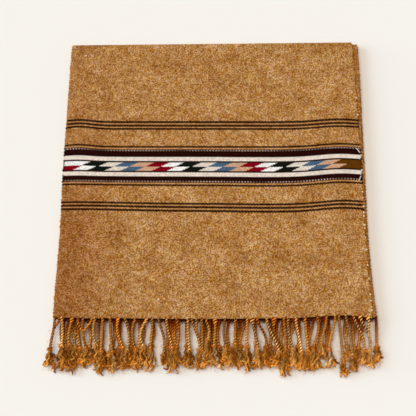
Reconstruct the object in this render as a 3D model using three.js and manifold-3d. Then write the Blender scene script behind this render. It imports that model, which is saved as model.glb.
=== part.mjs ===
// A hand-woven wool scarf with knotted fringes, folded in half and in half again, lying flat.
//
// The scarf is one cloth. Folding brings both of its fringed ends to the near edge, one on the
// other, and leaves four layers. From the top down they are:
//   front    the end of the scarf that faces up, with its fringe
//   under    the other end of the scarf, with its fringe
//   inner    the middle of the scarf, joined to the under layer inside the far fold
//   back     the middle of the scarf that lies on the table, joined to the front layer round the
//            outside of the far fold, and to the inner layer at the near fold
// The two hidden layers are one solid, hidden_layers, which shows as two layers at its edges.
//
// Millimetres, +Z up. While the layers are made, x = 0 is the middle of the front panel, y = 0 is
// its hem and +Y runs to the far fold. The last step moves the whole to the middle of its base.

import * as THREE from 'three';
import { mergeVertices } from 'three/addons/utils/BufferGeometryUtils.js';
import Module from 'manifold-3d';

const wasm = await Module();
wasm.setup();

const { lerp, smoothstep } = THREE.MathUtils;

// ---- Driving dimensions -------------------------------------------------------------------

const CLOTH = 2.2; // thickness of the woven wool
const AIR = 0.5; // air between two layers
const SEAM = 0.3; // parting between neighbouring pieces
const PITCH = CLOTH + AIR; // height from one layer to the next
const FOLD_UP = 359.5; // hem to far fold, along the middle
const FOLD_SKEW = 0.011; // the far fold runs a little higher on the right
const NEAR_FOLD_UP = 3.5; // the near fold stops this far short of the hem
const UNDER_HEM_UP = 1.2; // the under hem stops this far short of the front hem
const LOFT = 1.0; // height of the soft swells in the front panel

// Centre heights of the four layers above the table.
const BACK_Z = CLOTH / 2;
const INNER_Z = BACK_Z + PITCH;
const UNDER_Z = INNER_Z + PITCH;
const FRONT_Z = UNDER_Z + PITCH;

// Centre heights and radii of the folds, at the middle of the cloth's thickness.
const FAR_FOLD_Z = (BACK_Z + FRONT_Z) / 2;
const OUTER_RADIUS = FRONT_Z - FAR_FOLD_Z;
const INNER_RADIUS = UNDER_Z - FAR_FOLD_Z;
const NEAR_FOLD_Z = (BACK_Z + INNER_Z) / 2;
const NEAR_RADIUS = INNER_Z - NEAR_FOLD_Z;
const NEAR_START_UP = NEAR_FOLD_UP + NEAR_RADIUS + CLOTH / 2;
const FAR_END_SHORT = OUTER_RADIUS + CLOTH / 2; // the flat layers end this far short of the fold

// Outline of the folded scarf at sections going up from the hem. halfWidth is common to all
// layers. The other columns move a layer to the right, because the folds are not quite true.
const SECTIONS = [
  { up: 0, halfWidth: 192.6, front: 0, under: 6.0, inner: 4.5, back: 4.5 },
  { up: 35, halfWidth: 191.7, front: 0, under: 3.7, inner: 4.3, back: 4.0 },
  { up: 75, halfWidth: 189.8, front: 0, under: 2.7, inner: 4.2, back: 3.4 },
  { up: 130, halfWidth: 188.5, front: 0, under: 2.4, inner: 4.2, back: 2.7 },
  { up: 190, halfWidth: 188.3, front: 0, under: 1.4, inner: 4.6, back: 1.9 },
  { up: 250, halfWidth: 186.8, front: 0, under: 4.4, inner: 5.4, back: 1.1 },
  { up: 310, halfWidth: 185.2, front: 0, under: 6.4, inner: 6.4, back: 0.4 },
  { up: 365, halfWidth: 183.6, front: 0, under: 7.0, inner: 7.0, back: 0 },
];

// How far the far fold's corners are pulled in, where the cloth turns over.
const CORNERS = { left: 1.0, right: 4.2 };

// Places where the weft bows out of straight, which shows as a wavy hem.
const BOWS = [
  { at: 158, spread: 40, rise: 3.6 },
  { at: 196, spread: 14, rise: -2.0 },
  { at: -15, spread: 60, rise: -0.9 },
  { at: -186, spread: 24, rise: 0.9 },
];

// Soft swells in the stack: centre, reach across and along, and share of the loft.
const SWELLS = [
  { x: 150, up: 250, across: 55, along: 120, share: 1.0 },
  { x: -150, up: 120, across: 45, along: 110, share: 0.7 },
  { x: -20, up: 290, across: 90, along: 60, share: 0.6 },
  { x: 40, up: 70, across: 100, along: 60, share: 0.55 },
];

// Each layer takes its own share of the swells and of the bow, so the air between layers only
// grows. startUp is where its flat run begins.
const LAYERS = {
  front: { z: FRONT_Z, swell: 1.0, bow: 1.0, startUp: 0 },
  under: { z: UNDER_Z, swell: 0.72, bow: 0.4, startUp: UNDER_HEM_UP },
  inner: { z: INNER_Z, swell: 0.4, bow: 0, startUp: NEAR_START_UP },
  back: { z: BACK_Z, swell: 0, bow: 0, startUp: NEAR_START_UP },
};

// Twisted tassels of the two hems, in clumps from left to right. count is how many tassels fall
// together, tip is where the middle of their ends comes to lie, apart is the distance between
// those ends, reach is how far they run out from the hem and knot is the share of that at which
// they are knotted.
const FRONT_CLUMPS = [
  { count: 1, tip: -198, apart: 0, reach: 63, knot: 0.56 },
  { count: 2, tip: -173, apart: 10.0, reach: 66, knot: 0.52 },
  { count: 1, tip: -158, apart: 0, reach: 62, knot: 0.55 },
  { count: 2, tip: -137, apart: 9.0, reach: 66, knot: 0.56 },
  { count: 3, tip: -110, apart: 8.2, reach: 65, knot: 0.57 },
  { count: 2, tip: -89, apart: 8.4, reach: 63, knot: 0.56 },
  { count: 1, tip: -75, apart: 0, reach: 64, knot: 0.57 },
  { count: 3, tip: -52, apart: 7.8, reach: 63, knot: 0.56 },
  { count: 1, tip: -34, apart: 0, reach: 60, knot: 0.56 },
  { count: 3, tip: -13, apart: 8.2, reach: 60, knot: 0.58 },
  { count: 2, tip: 10, apart: 8.8, reach: 63, knot: 0.5 },
  { count: 2, tip: 34, apart: 9.0, reach: 65, knot: 0.52 },
  { count: 2, tip: 58, apart: 8.4, reach: 61, knot: 0.55 },
  { count: 3, tip: 82, apart: 7.8, reach: 67, knot: 0.58 },
  { count: 4, tip: 112, apart: 8.4, reach: 65, knot: 0.55 },
  { count: 2, tip: 140, apart: 9.0, reach: 61, knot: 0.5 },
  { count: 2, tip: 163, apart: 9.2, reach: 70, knot: 0.66 },
  { count: 2, tip: 184, apart: 10.6, reach: 61, knot: 0.56 },
];
const UNDER_CLUMPS = [
  { count: 2, tip: -181, apart: 8.6, reach: 60, knot: 0.54 },
  { count: 3, tip: -156, apart: 8.2, reach: 62, knot: 0.57 },
  { count: 2, tip: -130, apart: 8.0, reach: 60, knot: 0.52 },
  { count: 3, tip: -103, apart: 8.4, reach: 61, knot: 0.56 },
  { count: 3, tip: -74, apart: 8.0, reach: 60, knot: 0.54 },
  { count: 3, tip: -40, apart: 8.6, reach: 59, knot: 0.57 },
  { count: 2, tip: -14, apart: 8.0, reach: 57, knot: 0.55 },
  { count: 3, tip: 13, apart: 8.4, reach: 61, knot: 0.54 },
  { count: 3, tip: 43, apart: 8.2, reach: 61, knot: 0.56 },
  { count: 3, tip: 74, apart: 8.0, reach: 62, knot: 0.55 },
  { count: 3, tip: 105, apart: 8.2, reach: 61, knot: 0.53 },
  { count: 3, tip: 136, apart: 8.6, reach: 59, knot: 0.56 },
  { count: 3, tip: 169, apart: 8.8, reach: 62, knot: 0.57 },
  { count: 1, tip: 201, apart: 0, reach: 58, knot: 0.56 },
];

// One tassel from root to tip: a twisted cord, a knot and a loose tuft. cord and tuft are shares
// of those two lengths, wide and thick are half sizes, and settle is the share of the drop from
// the hem to where the tassel comes to lie.
const TASSEL_SECTIONS = [
  { cord: 0, tuft: 0, wide: 0.9, thick: 0.7, settle: 0 },
  { cord: 0.13, tuft: 0, wide: 1.6, thick: 1.2, settle: 0.06 },
  { cord: 0.4, tuft: 0, wide: 2.1, thick: 1.6, settle: 0.36 },
  { cord: 0.7, tuft: 0, wide: 2.1, thick: 1.7, settle: 0.78 },
  { cord: 0.92, tuft: 0, wide: 1.9, thick: 1.6, settle: 0.94 },
  { cord: 1, tuft: 0.04, wide: 3.3, thick: 2.0, settle: 0.97 },
  { cord: 1, tuft: 0.18, wide: 2.6, thick: 1.8, settle: 1 },
  { cord: 1, tuft: 0.45, wide: 3.5, thick: 1.9, settle: 1 },
  { cord: 1, tuft: 0.75, wide: 3.4, thick: 1.8, settle: 1 },
  { cord: 1, tuft: 0.94, wide: 2.4, thick: 1.2, settle: 1 },
  { cord: 1, tuft: 1, wide: 1.0, thick: 0.6, settle: 1 },
];

const STRIP_DEEP = 2.0; // last picks at the hem, which hold the tassels
const STRIP_THICK = 1.7;
const STRIP_STATIONS = 24;
const HEM_MARGIN = 3.0; // outer tassels start this far in from the selvedge
const FRONT_REST_Z = 6.6; // height of the front tassels where they come to lie
const UNDER_REST_Z = 2.35; // height of the under tassels, just clear of the table
const DRIFT_END = 0.72; // share of its length by which a tassel has reached its clump
const REACH_WAVER = 1.5; // uneven length within a clump
const ROOT_WAVER = 0.8; // uneven spacing along the hem
const GOLDEN_TURN = 2.399963; // spreads the unevenness without a repeat

const TAN = 0xb98449;
const GOLDEN_BROWN = 0xa5692c;

// ---- Outline ------------------------------------------------------------------------------

// A smooth value between the rows of SECTIONS.
function sectionCurve(column) {
  const ups = SECTIONS.map((row) => row.up);
  const values = SECTIONS.map((row) => row[column]);
  const curve = new THREE.CubicInterpolant(ups, values, 1);
  return (up) => curve.evaluate(up)[0];
}

const halfWidthAt = sectionCurve('halfWidth');
for (const [name, layer] of Object.entries(LAYERS)) layer.shiftAt = sectionCurve(name);

const bell = (distance, spread) => Math.exp(-((distance / spread) ** 2));

const bowAt = (x) => BOWS.reduce((sum, bow) => sum + bow.rise * bell(x - bow.at, bow.spread), 0);

const hemUpAt = (layer, x) => layer.startUp + layer.bow * bowAt(x);

const farEndAt = (x) => FOLD_UP + FOLD_SKEW * x - FAR_END_SHORT;

function swellAt(x, up) {
  const height = (s) => s.share * bell(x - s.x, s.across) * bell(up - s.up, s.along);
  return LOFT * SWELLS.reduce((sum, s) => sum + height(s), 0);
}

// x on a layer, for side from -1 at the left selvedge to 1 at the right one.
const acrossAt = (layer, side, up) => layer.shiftAt(up) + side * halfWidthAt(up);

const heightAt = (layer, x, up) => layer.z + layer.swell * swellAt(x, up);

// ---- Stations along the cloth -------------------------------------------------------------
//
// A station is one line across the cloth. For a side from -1 to 1 it gives the point at the
// middle of the cloth's thickness, and the way that the cloth's first face looks (ny, nz). The
// stations of a piece follow the cloth, and the first face is on their left, seen from +X.

// Part way along a layer's flat run. heading is 1 towards the far fold and -1 away from it.
function flatStation(layer, share, heading) {
  return (side) => {
    const x = acrossAt(layer, side, lerp(layer.startUp, FOLD_UP, share));
    const y = lerp(hemUpAt(layer, x), farEndAt(x), share);
    return { x, y, z: heightAt(layer, x, y), ny: 0, nz: heading };
  };
}

// Part way round the far fold. angle is 0 at the top and 180 degrees at the bottom, and outward
// is 1 where the first face is on the outside of the fold and -1 where it is on the inside.
function farStation(upper, lower, radius, angle, outward) {
  const turned = (1 - Math.cos(angle)) / 2;
  const pull = Math.sin(angle) ** 2;
  return (side) => {
    const shift = lerp(upper.shiftAt(FOLD_UP), lower.shiftAt(FOLD_UP), turned);
    const corner = pull * (side < 0 ? CORNERS.left : CORNERS.right);
    const x = shift + side * (halfWidthAt(FOLD_UP) - corner);
    const end = farEndAt(x);
    const lift = lerp(upper.swell, lower.swell, turned) * swellAt(x, end);
    const y = end + radius * Math.sin(angle);
    const z = FAR_FOLD_Z + radius * Math.cos(angle) + lift;
    return { x, y, z, ny: outward * Math.sin(angle), nz: outward * Math.cos(angle) };
  };
}

// Part way round the near fold. angle is 0 at the table and 180 degrees at the inner layer.
function nearStation(angle) {
  const { inner, back } = LAYERS;
  const turned = (1 - Math.cos(angle)) / 2;
  return (side) => {
    const shift = lerp(back.shiftAt(NEAR_START_UP), inner.shiftAt(NEAR_START_UP), turned);
    const x = shift + side * halfWidthAt(NEAR_START_UP);
    const lift = inner.swell * turned * swellAt(x, NEAR_START_UP);
    const y = NEAR_START_UP - NEAR_RADIUS * Math.sin(angle);
    const z = NEAR_FOLD_Z - NEAR_RADIUS * Math.cos(angle) + lift;
    return { x, y, z, ny: -Math.sin(angle), nz: -Math.cos(angle) };
  };
}

const QUARTER = Math.PI / 2;
const HALF = Math.PI;

// Evenly spread values from one number to another, both included.
const spread = (from, to, steps) =>
  Array.from({ length: steps + 1 }, (_, i) => lerp(from, to, i / steps));

const partingAngle = (radius) => SEAM / 2 / radius;

// ---- Walls of cloth -----------------------------------------------------------------------

const EDGE_INSET = 0.009; // share of a panel taken by its rounded edge
const EDGE_THICKNESS = 0.5; // share of the cloth's thickness at the very edge

// Shares of a length, with one more close to each end where the edge is rounded.
const edgedShares = (count) => [0, EDGE_INSET, ...spread(0, 1, count).slice(1, -1), 1 - EDGE_INSET, 1];

const sidesOf = (count) => edgedShares(count).map((share) => 2 * share - 1);

// A closed wall through stations. halfAt(side, index) is half its thickness.
function wall(stations, sides, halfAt) {
  const positions = [];
  const indices = [];
  const columns = sides.length;
  const rows = stations.length;
  const corner = (face, column, row) => (face * columns + column) * rows + row;
  for (const face of [1, -1]) {
    for (const side of sides) {
      stations.forEach((station, index) => {
        const { x, y, z, ny, nz } = station(side);
        const half = face * halfAt(side, index);
        positions.push(x, y + half * ny, z + half * nz);
      });
    }
  }
  const quad = (a, b, c, d) => indices.push(a, b, c, a, c, d);
  for (let i = 0; i < columns - 1; i += 1) {
    for (let j = 0; j < rows - 1; j += 1) {
      quad(corner(0, i, j), corner(0, i + 1, j), corner(0, i + 1, j + 1), corner(0, i, j + 1));
      quad(corner(1, i, j), corner(1, i, j + 1), corner(1, i + 1, j + 1), corner(1, i + 1, j));
    }
    const last = rows - 1;
    quad(corner(1, i, 0), corner(1, i + 1, 0), corner(0, i + 1, 0), corner(0, i, 0));
    quad(corner(0, i, last), corner(0, i + 1, last), corner(1, i + 1, last), corner(1, i, last));
  }
  const right = columns - 1;
  for (let j = 0; j < rows - 1; j += 1) {
    quad(corner(0, 0, j), corner(0, 0, j + 1), corner(1, 0, j + 1), corner(1, 0, j));
    quad(corner(1, right, j), corner(1, right, j + 1), corner(0, right, j + 1), corner(0, right, j));
  }
  const geometry = new THREE.BufferGeometry();
  geometry.setAttribute('position', new THREE.Float32BufferAttribute(positions, 3));
  geometry.setIndex(indices);
  return geometry;
}

// A wall of cloth, thinner at its selvedges and at the station that is its hem, if it has one.
function clothWall(stations, columns, hemIndex) {
  const edge = 1 - 2 * EDGE_INSET;
  const halfAt = (side, index) => {
    const isEdge = Math.abs(side) > edge || index === hemIndex;
    return (CLOTH / 2) * (isEdge ? EDGE_THICKNESS : 1);
  };
  return wall(stations, sidesOf(columns), halfAt);
}

const wool = (color) => new THREE.MeshStandardMaterial({ color, roughness: 0.95, metalness: 0 });

function piece(name, geometry, color) {
  geometry.computeVertexNormals();
  const mesh = new THREE.Mesh(geometry, wool(color));
  mesh.name = name;
  return mesh;
}

function toSolid(geometry) {
  const merged = mergeVertices(geometry);
  return new wasm.Manifold(
    new wasm.Mesh({
      numProp: 3,
      vertProperties: new Float32Array(merged.attributes.position.array),
      triVerts: new Uint32Array(merged.index.array),
    }),
  );
}

function toGeometry(solid) {
  const { vertProperties, triVerts } = solid.getMesh();
  const geometry = new THREE.BufferGeometry();
  geometry.setAttribute('position', new THREE.Float32BufferAttribute(vertProperties, 3));
  geometry.setIndex(Array.from(triVerts));
  return geometry;
}

// ---- The cloth ----------------------------------------------------------------------------

// The end of the scarf that faces up, as far as the crest of the far fold.
function frontPanel() {
  const { front, back } = LAYERS;
  const flats = edgedShares(18).map((share) => flatStation(front, share, 1));
  const turn = spread(0, QUARTER - partingAngle(OUTER_RADIUS), 5).slice(1);
  const bend = turn.map((angle) => farStation(front, back, OUTER_RADIUS, angle, 1));
  return piece('front_panel', clothWall([...flats, ...bend], 20, 0), TAN);
}

// The layer on the table, from the crest of the far fold to the crest of the near one.
function backPanel() {
  const { front, back } = LAYERS;
  const turn = spread(QUARTER + partingAngle(OUTER_RADIUS), HALF, 5).slice(0, -1);
  const bend = turn.map((angle) => farStation(front, back, OUTER_RADIUS, angle, 1));
  const flats = spread(1, 0, 10).map((share) => flatStation(back, share, -1));
  const near = spread(0, QUARTER - partingAngle(NEAR_RADIUS), 3).slice(1).map(nearStation);
  return piece('back_panel', clothWall([...bend, ...flats, ...near], 12, null), TAN);
}

const GROOVE = 9; // depth to which the two hidden layers lie apart at their edges
const CORE_START_UP = NEAR_START_UP + GROOVE;

// What fills the space between the hidden layers, short of their edges. It runs from the middle
// of one layer to the middle of the other.
function hiddenCore() {
  const { under, inner } = LAYERS;
  const middle = { shiftAt: (up) => (under.shiftAt(up) + inner.shiftAt(up)) / 2 };
  const gap = (x, up) => heightAt(under, x, up) - heightAt(inner, x, up);
  const placeAt = (side, share) => {
    const up = lerp(CORE_START_UP, FOLD_UP - FAR_END_SHORT, share);
    const x = acrossAt(middle, side, up) - side * GROOVE;
    const y = lerp(CORE_START_UP, farEndAt(x), share);
    return { x, y };
  };
  const shares = spread(0, 1, 10);
  const stations = shares.map((share) => (side) => {
    const { x, y } = placeAt(side, share);
    return { x, y, z: heightAt(inner, x, y) + gap(x, y) / 2, ny: 0, nz: 1 };
  });
  const halfAt = (side, index) => {
    const { x, y } = placeAt(side, shares[index]);
    return gap(x, y) / 2;
  };
  return wall(stations, spread(-1, 1, 10), halfAt);
}

// The under and inner layers, with the turn that joins them inside the far fold.
function hiddenLayers() {
  const { under, inner } = LAYERS;
  const near = spread(QUARTER + partingAngle(NEAR_RADIUS), HALF, 3).slice(0, -1).map(nearStation);
  const lower = spread(0, 1, 12).map((share) => flatStation(inner, share, 1));
  const turn = spread(HALF, 0, 4).slice(1, -1);
  const bend = turn.map((angle) => farStation(under, inner, INNER_RADIUS, angle, -1));
  const upper = [...spread(1, 0, 12).slice(0, -1), EDGE_INSET, 0];
  const stations = [...near, ...lower, ...bend, ...upper.map((share) => flatStation(under, share, -1))];
  const cloth = clothWall(stations, 14, stations.length - 1);
  const solid = toSolid(cloth).add(toSolid(hiddenCore()));
  return piece('hidden_layers', toGeometry(solid), TAN);
}

// ---- Fringes ------------------------------------------------------------------------------

// A closed tube through rings of equally many points, with its two ends capped.
function tube(rings) {
  const sides = rings[0].length;
  const positions = rings.flat().flatMap((point) => point.toArray());
  const indices = [];
  for (let ring = 0; ring < rings.length - 1; ring += 1) {
    for (let side = 0; side < sides; side += 1) {
      const a = ring * sides + side;
      const b = ring * sides + ((side + 1) % sides);
      indices.push(a, b, b + sides, a, b + sides, a + sides);
    }
  }
  const last = (rings.length - 1) * sides;
  for (let side = 1; side < sides - 1; side += 1) {
    indices.push(0, side + 1, side, last, last + side, last + side + 1);
  }
  const geometry = new THREE.BufferGeometry();
  geometry.setAttribute('position', new THREE.Float32BufferAttribute(positions, 3));
  geometry.setIndex(indices);
  return geometry;
}

// The four corners of a tassel's section, seen from its root: right, top, left and bottom.
function diamond(x, y, z, wide, thick) {
  return [
    new THREE.Vector3(x + wide, y, z),
    new THREE.Vector3(x, y, z + thick),
    new THREE.Vector3(x - wide, y, z),
    new THREE.Vector3(x, y, z - thick),
  ];
}

// Root and end of each tassel on one hem, worked out from its clumps.
function tasselPlaces(clumps, left, right) {
  const total = clumps.reduce((sum, clump) => sum + clump.count, 0);
  const spacing = (right - left) / (total - 1);
  const places = [];
  for (const { count, tip, apart, reach, knot } of clumps) {
    for (let i = 0; i < count; i += 1) {
      const number = places.length;
      const waver = GOLDEN_TURN * number;
      places.push({
        root: left + spacing * number + ROOT_WAVER * Math.sin(waver),
        tip: tip + apart * (i - (count - 1) / 2),
        reach: reach - REACH_WAVER * (1 + Math.cos(waver)),
        knot,
      });
    }
  }
  return places;
}

function tassel({ root, tip, reach, knot }, rootY, rootZ, restZ) {
  const rings = TASSEL_SECTIONS.map(({ cord, tuft, wide, thick, settle }) => {
    const share = cord * knot + tuft * (1 - knot);
    const x = lerp(root, tip, smoothstep(share, 0, DRIFT_END));
    return diamond(x, rootY - share * reach, lerp(rootZ, restZ, settle), wide, thick);
  });
  return tube(rings);
}

// The last picks of the hem, a narrow strip just off the edge of the cloth.
function hemStrip(left, right, hemYAt, z) {
  const rings = spread(left, right, STRIP_STATIONS).map((x) => {
    const far = hemYAt(x) - SEAM;
    const near = far - STRIP_DEEP;
    const low = z - STRIP_THICK / 2;
    const high = z + STRIP_THICK / 2;
    return [
      new THREE.Vector3(x, near, low),
      new THREE.Vector3(x, far, low),
      new THREE.Vector3(x, far, high),
      new THREE.Vector3(x, near, high),
    ];
  });
  return tube(rings);
}

// A hem's last picks with all of their tassels, joined only at the roots.
function fringe(name, layer, clumps, restZ) {
  const left = acrossAt(layer, -1, 0);
  const right = acrossAt(layer, 1, 0);
  const hemYAt = (x) => hemUpAt(layer, x);
  let solid = toSolid(hemStrip(left, right, hemYAt, layer.z));
  for (const place of tasselPlaces(clumps, left + HEM_MARGIN, right - HEM_MARGIN)) {
    const rootY = hemYAt(place.root) - SEAM - STRIP_DEEP / 2;
    solid = solid.add(toSolid(tassel(place, rootY, layer.z, restZ)));
  }
  return piece(name, toGeometry(solid), GOLDEN_BROWN);
}

// ---- The scarf ----------------------------------------------------------------------------

const scarf = new THREE.Group();
scarf.name = 'wool_scarf';
scarf.add(
  frontPanel(),
  backPanel(),
  hiddenLayers(),
  fringe('front_fringe', LAYERS.front, FRONT_CLUMPS, FRONT_REST_Z),
  fringe('under_fringe', LAYERS.under, UNDER_CLUMPS, UNDER_REST_Z),
);

// The origin is the middle of the base.
const box = new THREE.Box3().setFromObject(scarf);
const middle = box.getCenter(new THREE.Vector3());
scarf.position.set(-middle.x, -middle.y, -box.min.z);

export default scarf;
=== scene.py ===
# %% [markdown]
# # A folded wool scarf
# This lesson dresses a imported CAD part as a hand-woven wool scarf. It lies folded in four, with the
# twisted and knotted fringes of both its ends at the near edge. The part is loaded first and never
# changed. Every piece that follows takes its place from it, in metres, so nothing has to be fitted.

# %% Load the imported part
import math

import bpy
import numpy as np
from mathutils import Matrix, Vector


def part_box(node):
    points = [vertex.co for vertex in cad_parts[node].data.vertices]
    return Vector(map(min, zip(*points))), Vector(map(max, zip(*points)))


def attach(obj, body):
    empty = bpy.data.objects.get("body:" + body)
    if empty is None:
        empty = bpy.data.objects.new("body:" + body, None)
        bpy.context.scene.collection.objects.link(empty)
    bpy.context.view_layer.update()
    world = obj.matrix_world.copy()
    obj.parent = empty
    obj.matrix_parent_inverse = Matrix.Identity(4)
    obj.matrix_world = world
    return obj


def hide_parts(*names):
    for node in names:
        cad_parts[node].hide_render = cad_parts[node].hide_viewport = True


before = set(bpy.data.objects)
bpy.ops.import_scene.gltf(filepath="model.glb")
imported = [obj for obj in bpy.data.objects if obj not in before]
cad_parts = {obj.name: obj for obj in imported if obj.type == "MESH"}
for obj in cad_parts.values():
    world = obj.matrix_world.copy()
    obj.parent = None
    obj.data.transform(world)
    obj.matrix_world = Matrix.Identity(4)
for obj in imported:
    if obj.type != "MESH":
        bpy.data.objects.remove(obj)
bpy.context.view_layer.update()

# %% [markdown]
# ## Where the scarf lies
# A weaver measures cloth from a corner, in millimetres, so the numbers below do too: x = 0 is the
# middle of the front panel, and y = 0 is its hem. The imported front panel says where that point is
# in the part, and one function moves finished points there and turns them into metres.

# %% From the weaver's millimetres to the part's metres
MM = 0.001
HEM_DIP = 0.9  # the front hem's lowest place is this far below y = 0

front_low, front_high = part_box("front_panel")
cloth_origin = np.array([(front_low.x + front_high.x) / 2, front_low.y + HEM_DIP * MM, 0.0])


def to_part(points_mm):
    """Points in the weaver's millimetres, as points of the part in metres."""
    return np.asarray(points_mm) * MM + cloth_origin


print("Middle of the front hem in mm:", (cloth_origin / MM).round(2))

# %% [markdown]
# ## Camera, floor and light
# The scarf is seen from high above its fringe, 77 degrees up, through a 65 mm lens, which hardly
# makes the far end look narrower. It lies on pale matt card. Two wide lamps stand on the left, a
# little behind it. The high one gives most of the light and is slightly warm. The low one is
# cooler, models the nap and throws a soft shadow to the right. A neutral sky fills the shadows.
# Blender's Standard view transform is used, because it shows a yarn's own colour as it is given.

# %% Camera
CAMERA_LENS = 65.0
CAMERA_ELEVATION = math.radians(77.0)
CAMERA_DISTANCE = 938.9  # mm
AIM = to_part([-5.65, 137.0, 8.0])

back_off = np.array([0.0, -math.cos(CAMERA_ELEVATION), math.sin(CAMERA_ELEVATION)])
bpy.ops.object.select_all(action="DESELECT")
bpy.ops.object.camera_add(
    location=AIM + back_off * CAMERA_DISTANCE * MM,
    rotation=(math.pi / 2 - CAMERA_ELEVATION, 0, 0),
)
camera = bpy.context.object
camera.name = "camera"
camera.data.lens = CAMERA_LENS
camera.data.sensor_width = 36.0
camera.data.clip_start = 0.05
bpy.context.scene.camera = camera
bpy.context.scene.view_settings.view_transform = "Standard"
print("Camera at", [round(c, 3) for c in camera.location])

# %% [markdown]
# ## Small helpers for materials
# Colours are chosen as sRGB hex values, as on a dyer's card. Shaders count light, not paint, so one
# function turns each value to linear light. Another adds a node, sets it up and links it, and
# every material below is built with it. Two more are short forms of nodes that come up often.

# %% Helpers for colours and nodes


def linear(hex_colour):
    """An sRGB hex value such as "b8864e" as linear red, green, blue and alpha."""
    srgb = [int(hex_colour[i : i + 2], 16) / 255 for i in (0, 2, 4)]
    return [c / 12.92 if c <= 0.04045 else ((c + 0.055) / 1.055) ** 2.4 for c in srgb] + [1.0]


def add_node(tree, kind, inputs=None, **settings):
    """Adds a node. inputs gives its sockets, by name or number, a value or the output to link."""
    node = tree.nodes.new("ShaderNode" + kind)
    for name, value in settings.items():
        setattr(node, name, value)
    for name, value in (inputs or {}).items():
        if isinstance(value, bpy.types.NodeSocket):
            tree.links.new(value, node.inputs[name])
        else:
            node.inputs[name].default_value = value
    return node


def scaled(tree, vector, factor):
    """A colour or a place, times a factor."""
    return add_node(tree, "VectorMath", {0: vector, "Scale": factor}, operation="SCALE").outputs[0]


def ranged(tree, value, before, after, **settings):
    """A value, moved from the range before to the range after and held within it."""
    limits = {"From Min": before[0], "From Max": before[1], "To Min": after[0], "To Max": after[1]}
    return add_node(tree, "MapRange", {"Value": value, **limits}, **settings).outputs[0]


def new_material(name):
    """An empty node tree with its material."""
    material = bpy.data.materials.new(name)
    material.use_nodes = True
    material.node_tree.nodes.clear()
    return material, material.node_tree


# %% Floor of pale matt card
# Card is paper fibre and chalk: matt, hardly rougher or shinier anywhere, and a little warm.
FLOOR_SIZE = 6.0  # m
FLOOR_GAP = 0.0001  # m, so that the cloth's underside and the card don't share a plane

bpy.ops.object.select_all(action="DESELECT")
bpy.ops.mesh.primitive_plane_add(size=FLOOR_SIZE, location=(0, 0, -FLOOR_GAP))
floor = bpy.context.object
floor.name = "floor"
bpy.ops.object.transform_apply(location=True)
card, tree = new_material("pale matt card")
shader = add_node(
    tree,
    "BsdfPrincipled",
    {"Base Color": linear("f2efea"), "Roughness": 0.9, "Specular IOR Level": 0.1},
)
add_node(tree, "OutputMaterial", {"Surface": shader.outputs[0]})
floor.data.materials.append(card)
print("Floor:", FLOOR_SIZE, "m square")

# %% Sky and lamps
# name, light on the floor in its strongest colour, elevation, turn from +X, angle it fills, colour
LAMPS = [("overhead", 0.57, 74, 158, 52, "fff0e0"), ("from_left", 0.3, 19, 172, 36, "cbeafd")]
SKY_SHARE = 0.25
FULL_LIGHT = 1.047  # every share is multiplied by this, which sets the exposure

world = bpy.data.worlds.new("studio")
bpy.context.scene.world = world
world.use_nodes = True
sky = world.node_tree.nodes["Background"]
sky.inputs["Color"].default_value = linear("ffffff")
sky.inputs["Strength"].default_value = SKY_SHARE * FULL_LIGHT

for name, share, elevation, turn, width, colour in LAMPS:
    elevation, turn = math.radians(elevation), math.radians(turn)
    bpy.ops.object.light_add(
        type="SUN", rotation=(math.pi / 2 - elevation, 0, turn + math.pi / 2)
    )
    lamp = bpy.context.object
    lamp.name = name
    lamp.data.angle = math.radians(width)
    lamp.data.energy = share * FULL_LIGHT * math.pi / math.sin(elevation)
    lamp.data.color = linear(colour)[:3]
print("Lamps:", [name for name, *_ in LAMPS])

# %% [markdown]
# ## The outline of the folded scarf
# No hand-folded cloth is a true rectangle: this one is wider at the hem, and each layer lies a
# little to one side of the next. The table repeats the part's own sections. A smooth curve runs
# through its rows, as a weaver's eye would draw the edge between them.

# %% Sections of the folded scarf
CLOTH = 2.2  # mm, thickness of the woven wool
FOLD_UP = 359.5  # hem to far fold
FOLD_SKEW = 0.011  # the far fold runs a little higher on the right
# up from the hem, half width, then the shift to the right of each layer
SECTIONS = np.array(
    [
        # up, half width, front, under, inner, back
        [0, 192.6, 0, 6.0, 4.5, 4.5],
        [35, 191.7, 0, 3.7, 4.3, 4.0],
        [75, 189.8, 0, 2.7, 4.2, 3.4],
        [130, 188.5, 0, 2.4, 4.2, 2.7],
        [190, 188.3, 0, 1.4, 4.6, 1.9],
        [250, 186.8, 0, 4.4, 5.4, 1.1],
        [310, 185.2, 0, 6.4, 6.4, 0.4],
        [365, 183.6, 0, 7.0, 7.0, 0],
    ]
)
COLUMNS = {"half": 1, "front": 2, "under": 3, "inner": 4, "back": 5}


def section(column, up):
    """A smooth value between the rows of SECTIONS."""
    ups, values = SECTIONS[:, 0], SECTIONS[:, COLUMNS[column]]
    slopes = np.gradient(values, ups)
    i = int(np.clip(np.searchsorted(ups, up) - 1, 0, len(ups) - 2))
    step = ups[i + 1] - ups[i]
    t = (up - ups[i]) / step
    return (
        (2 * t**3 - 3 * t**2 + 1) * values[i]
        + (t**3 - 2 * t**2 + t) * step * slopes[i]
        + (3 * t**2 - 2 * t**3) * values[i + 1]
        + (t**3 - t**2) * step * slopes[i + 1]
    )


print("Width at the hem and at the fold, in mm:", 2 * section("half", 0), 2 * section("half", 360))

# %% [markdown]
# ## Bowed picks and soft swells
# A pick is one throw of the weft. Tension on the loom pulls the picks out of straight near the
# edges, so the hem and the stripes wave. The bows move the cloth's own coordinates, so stripes
# that are dyed by those coordinates wave too. The swells lift the stack where its layers hold air.

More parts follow.
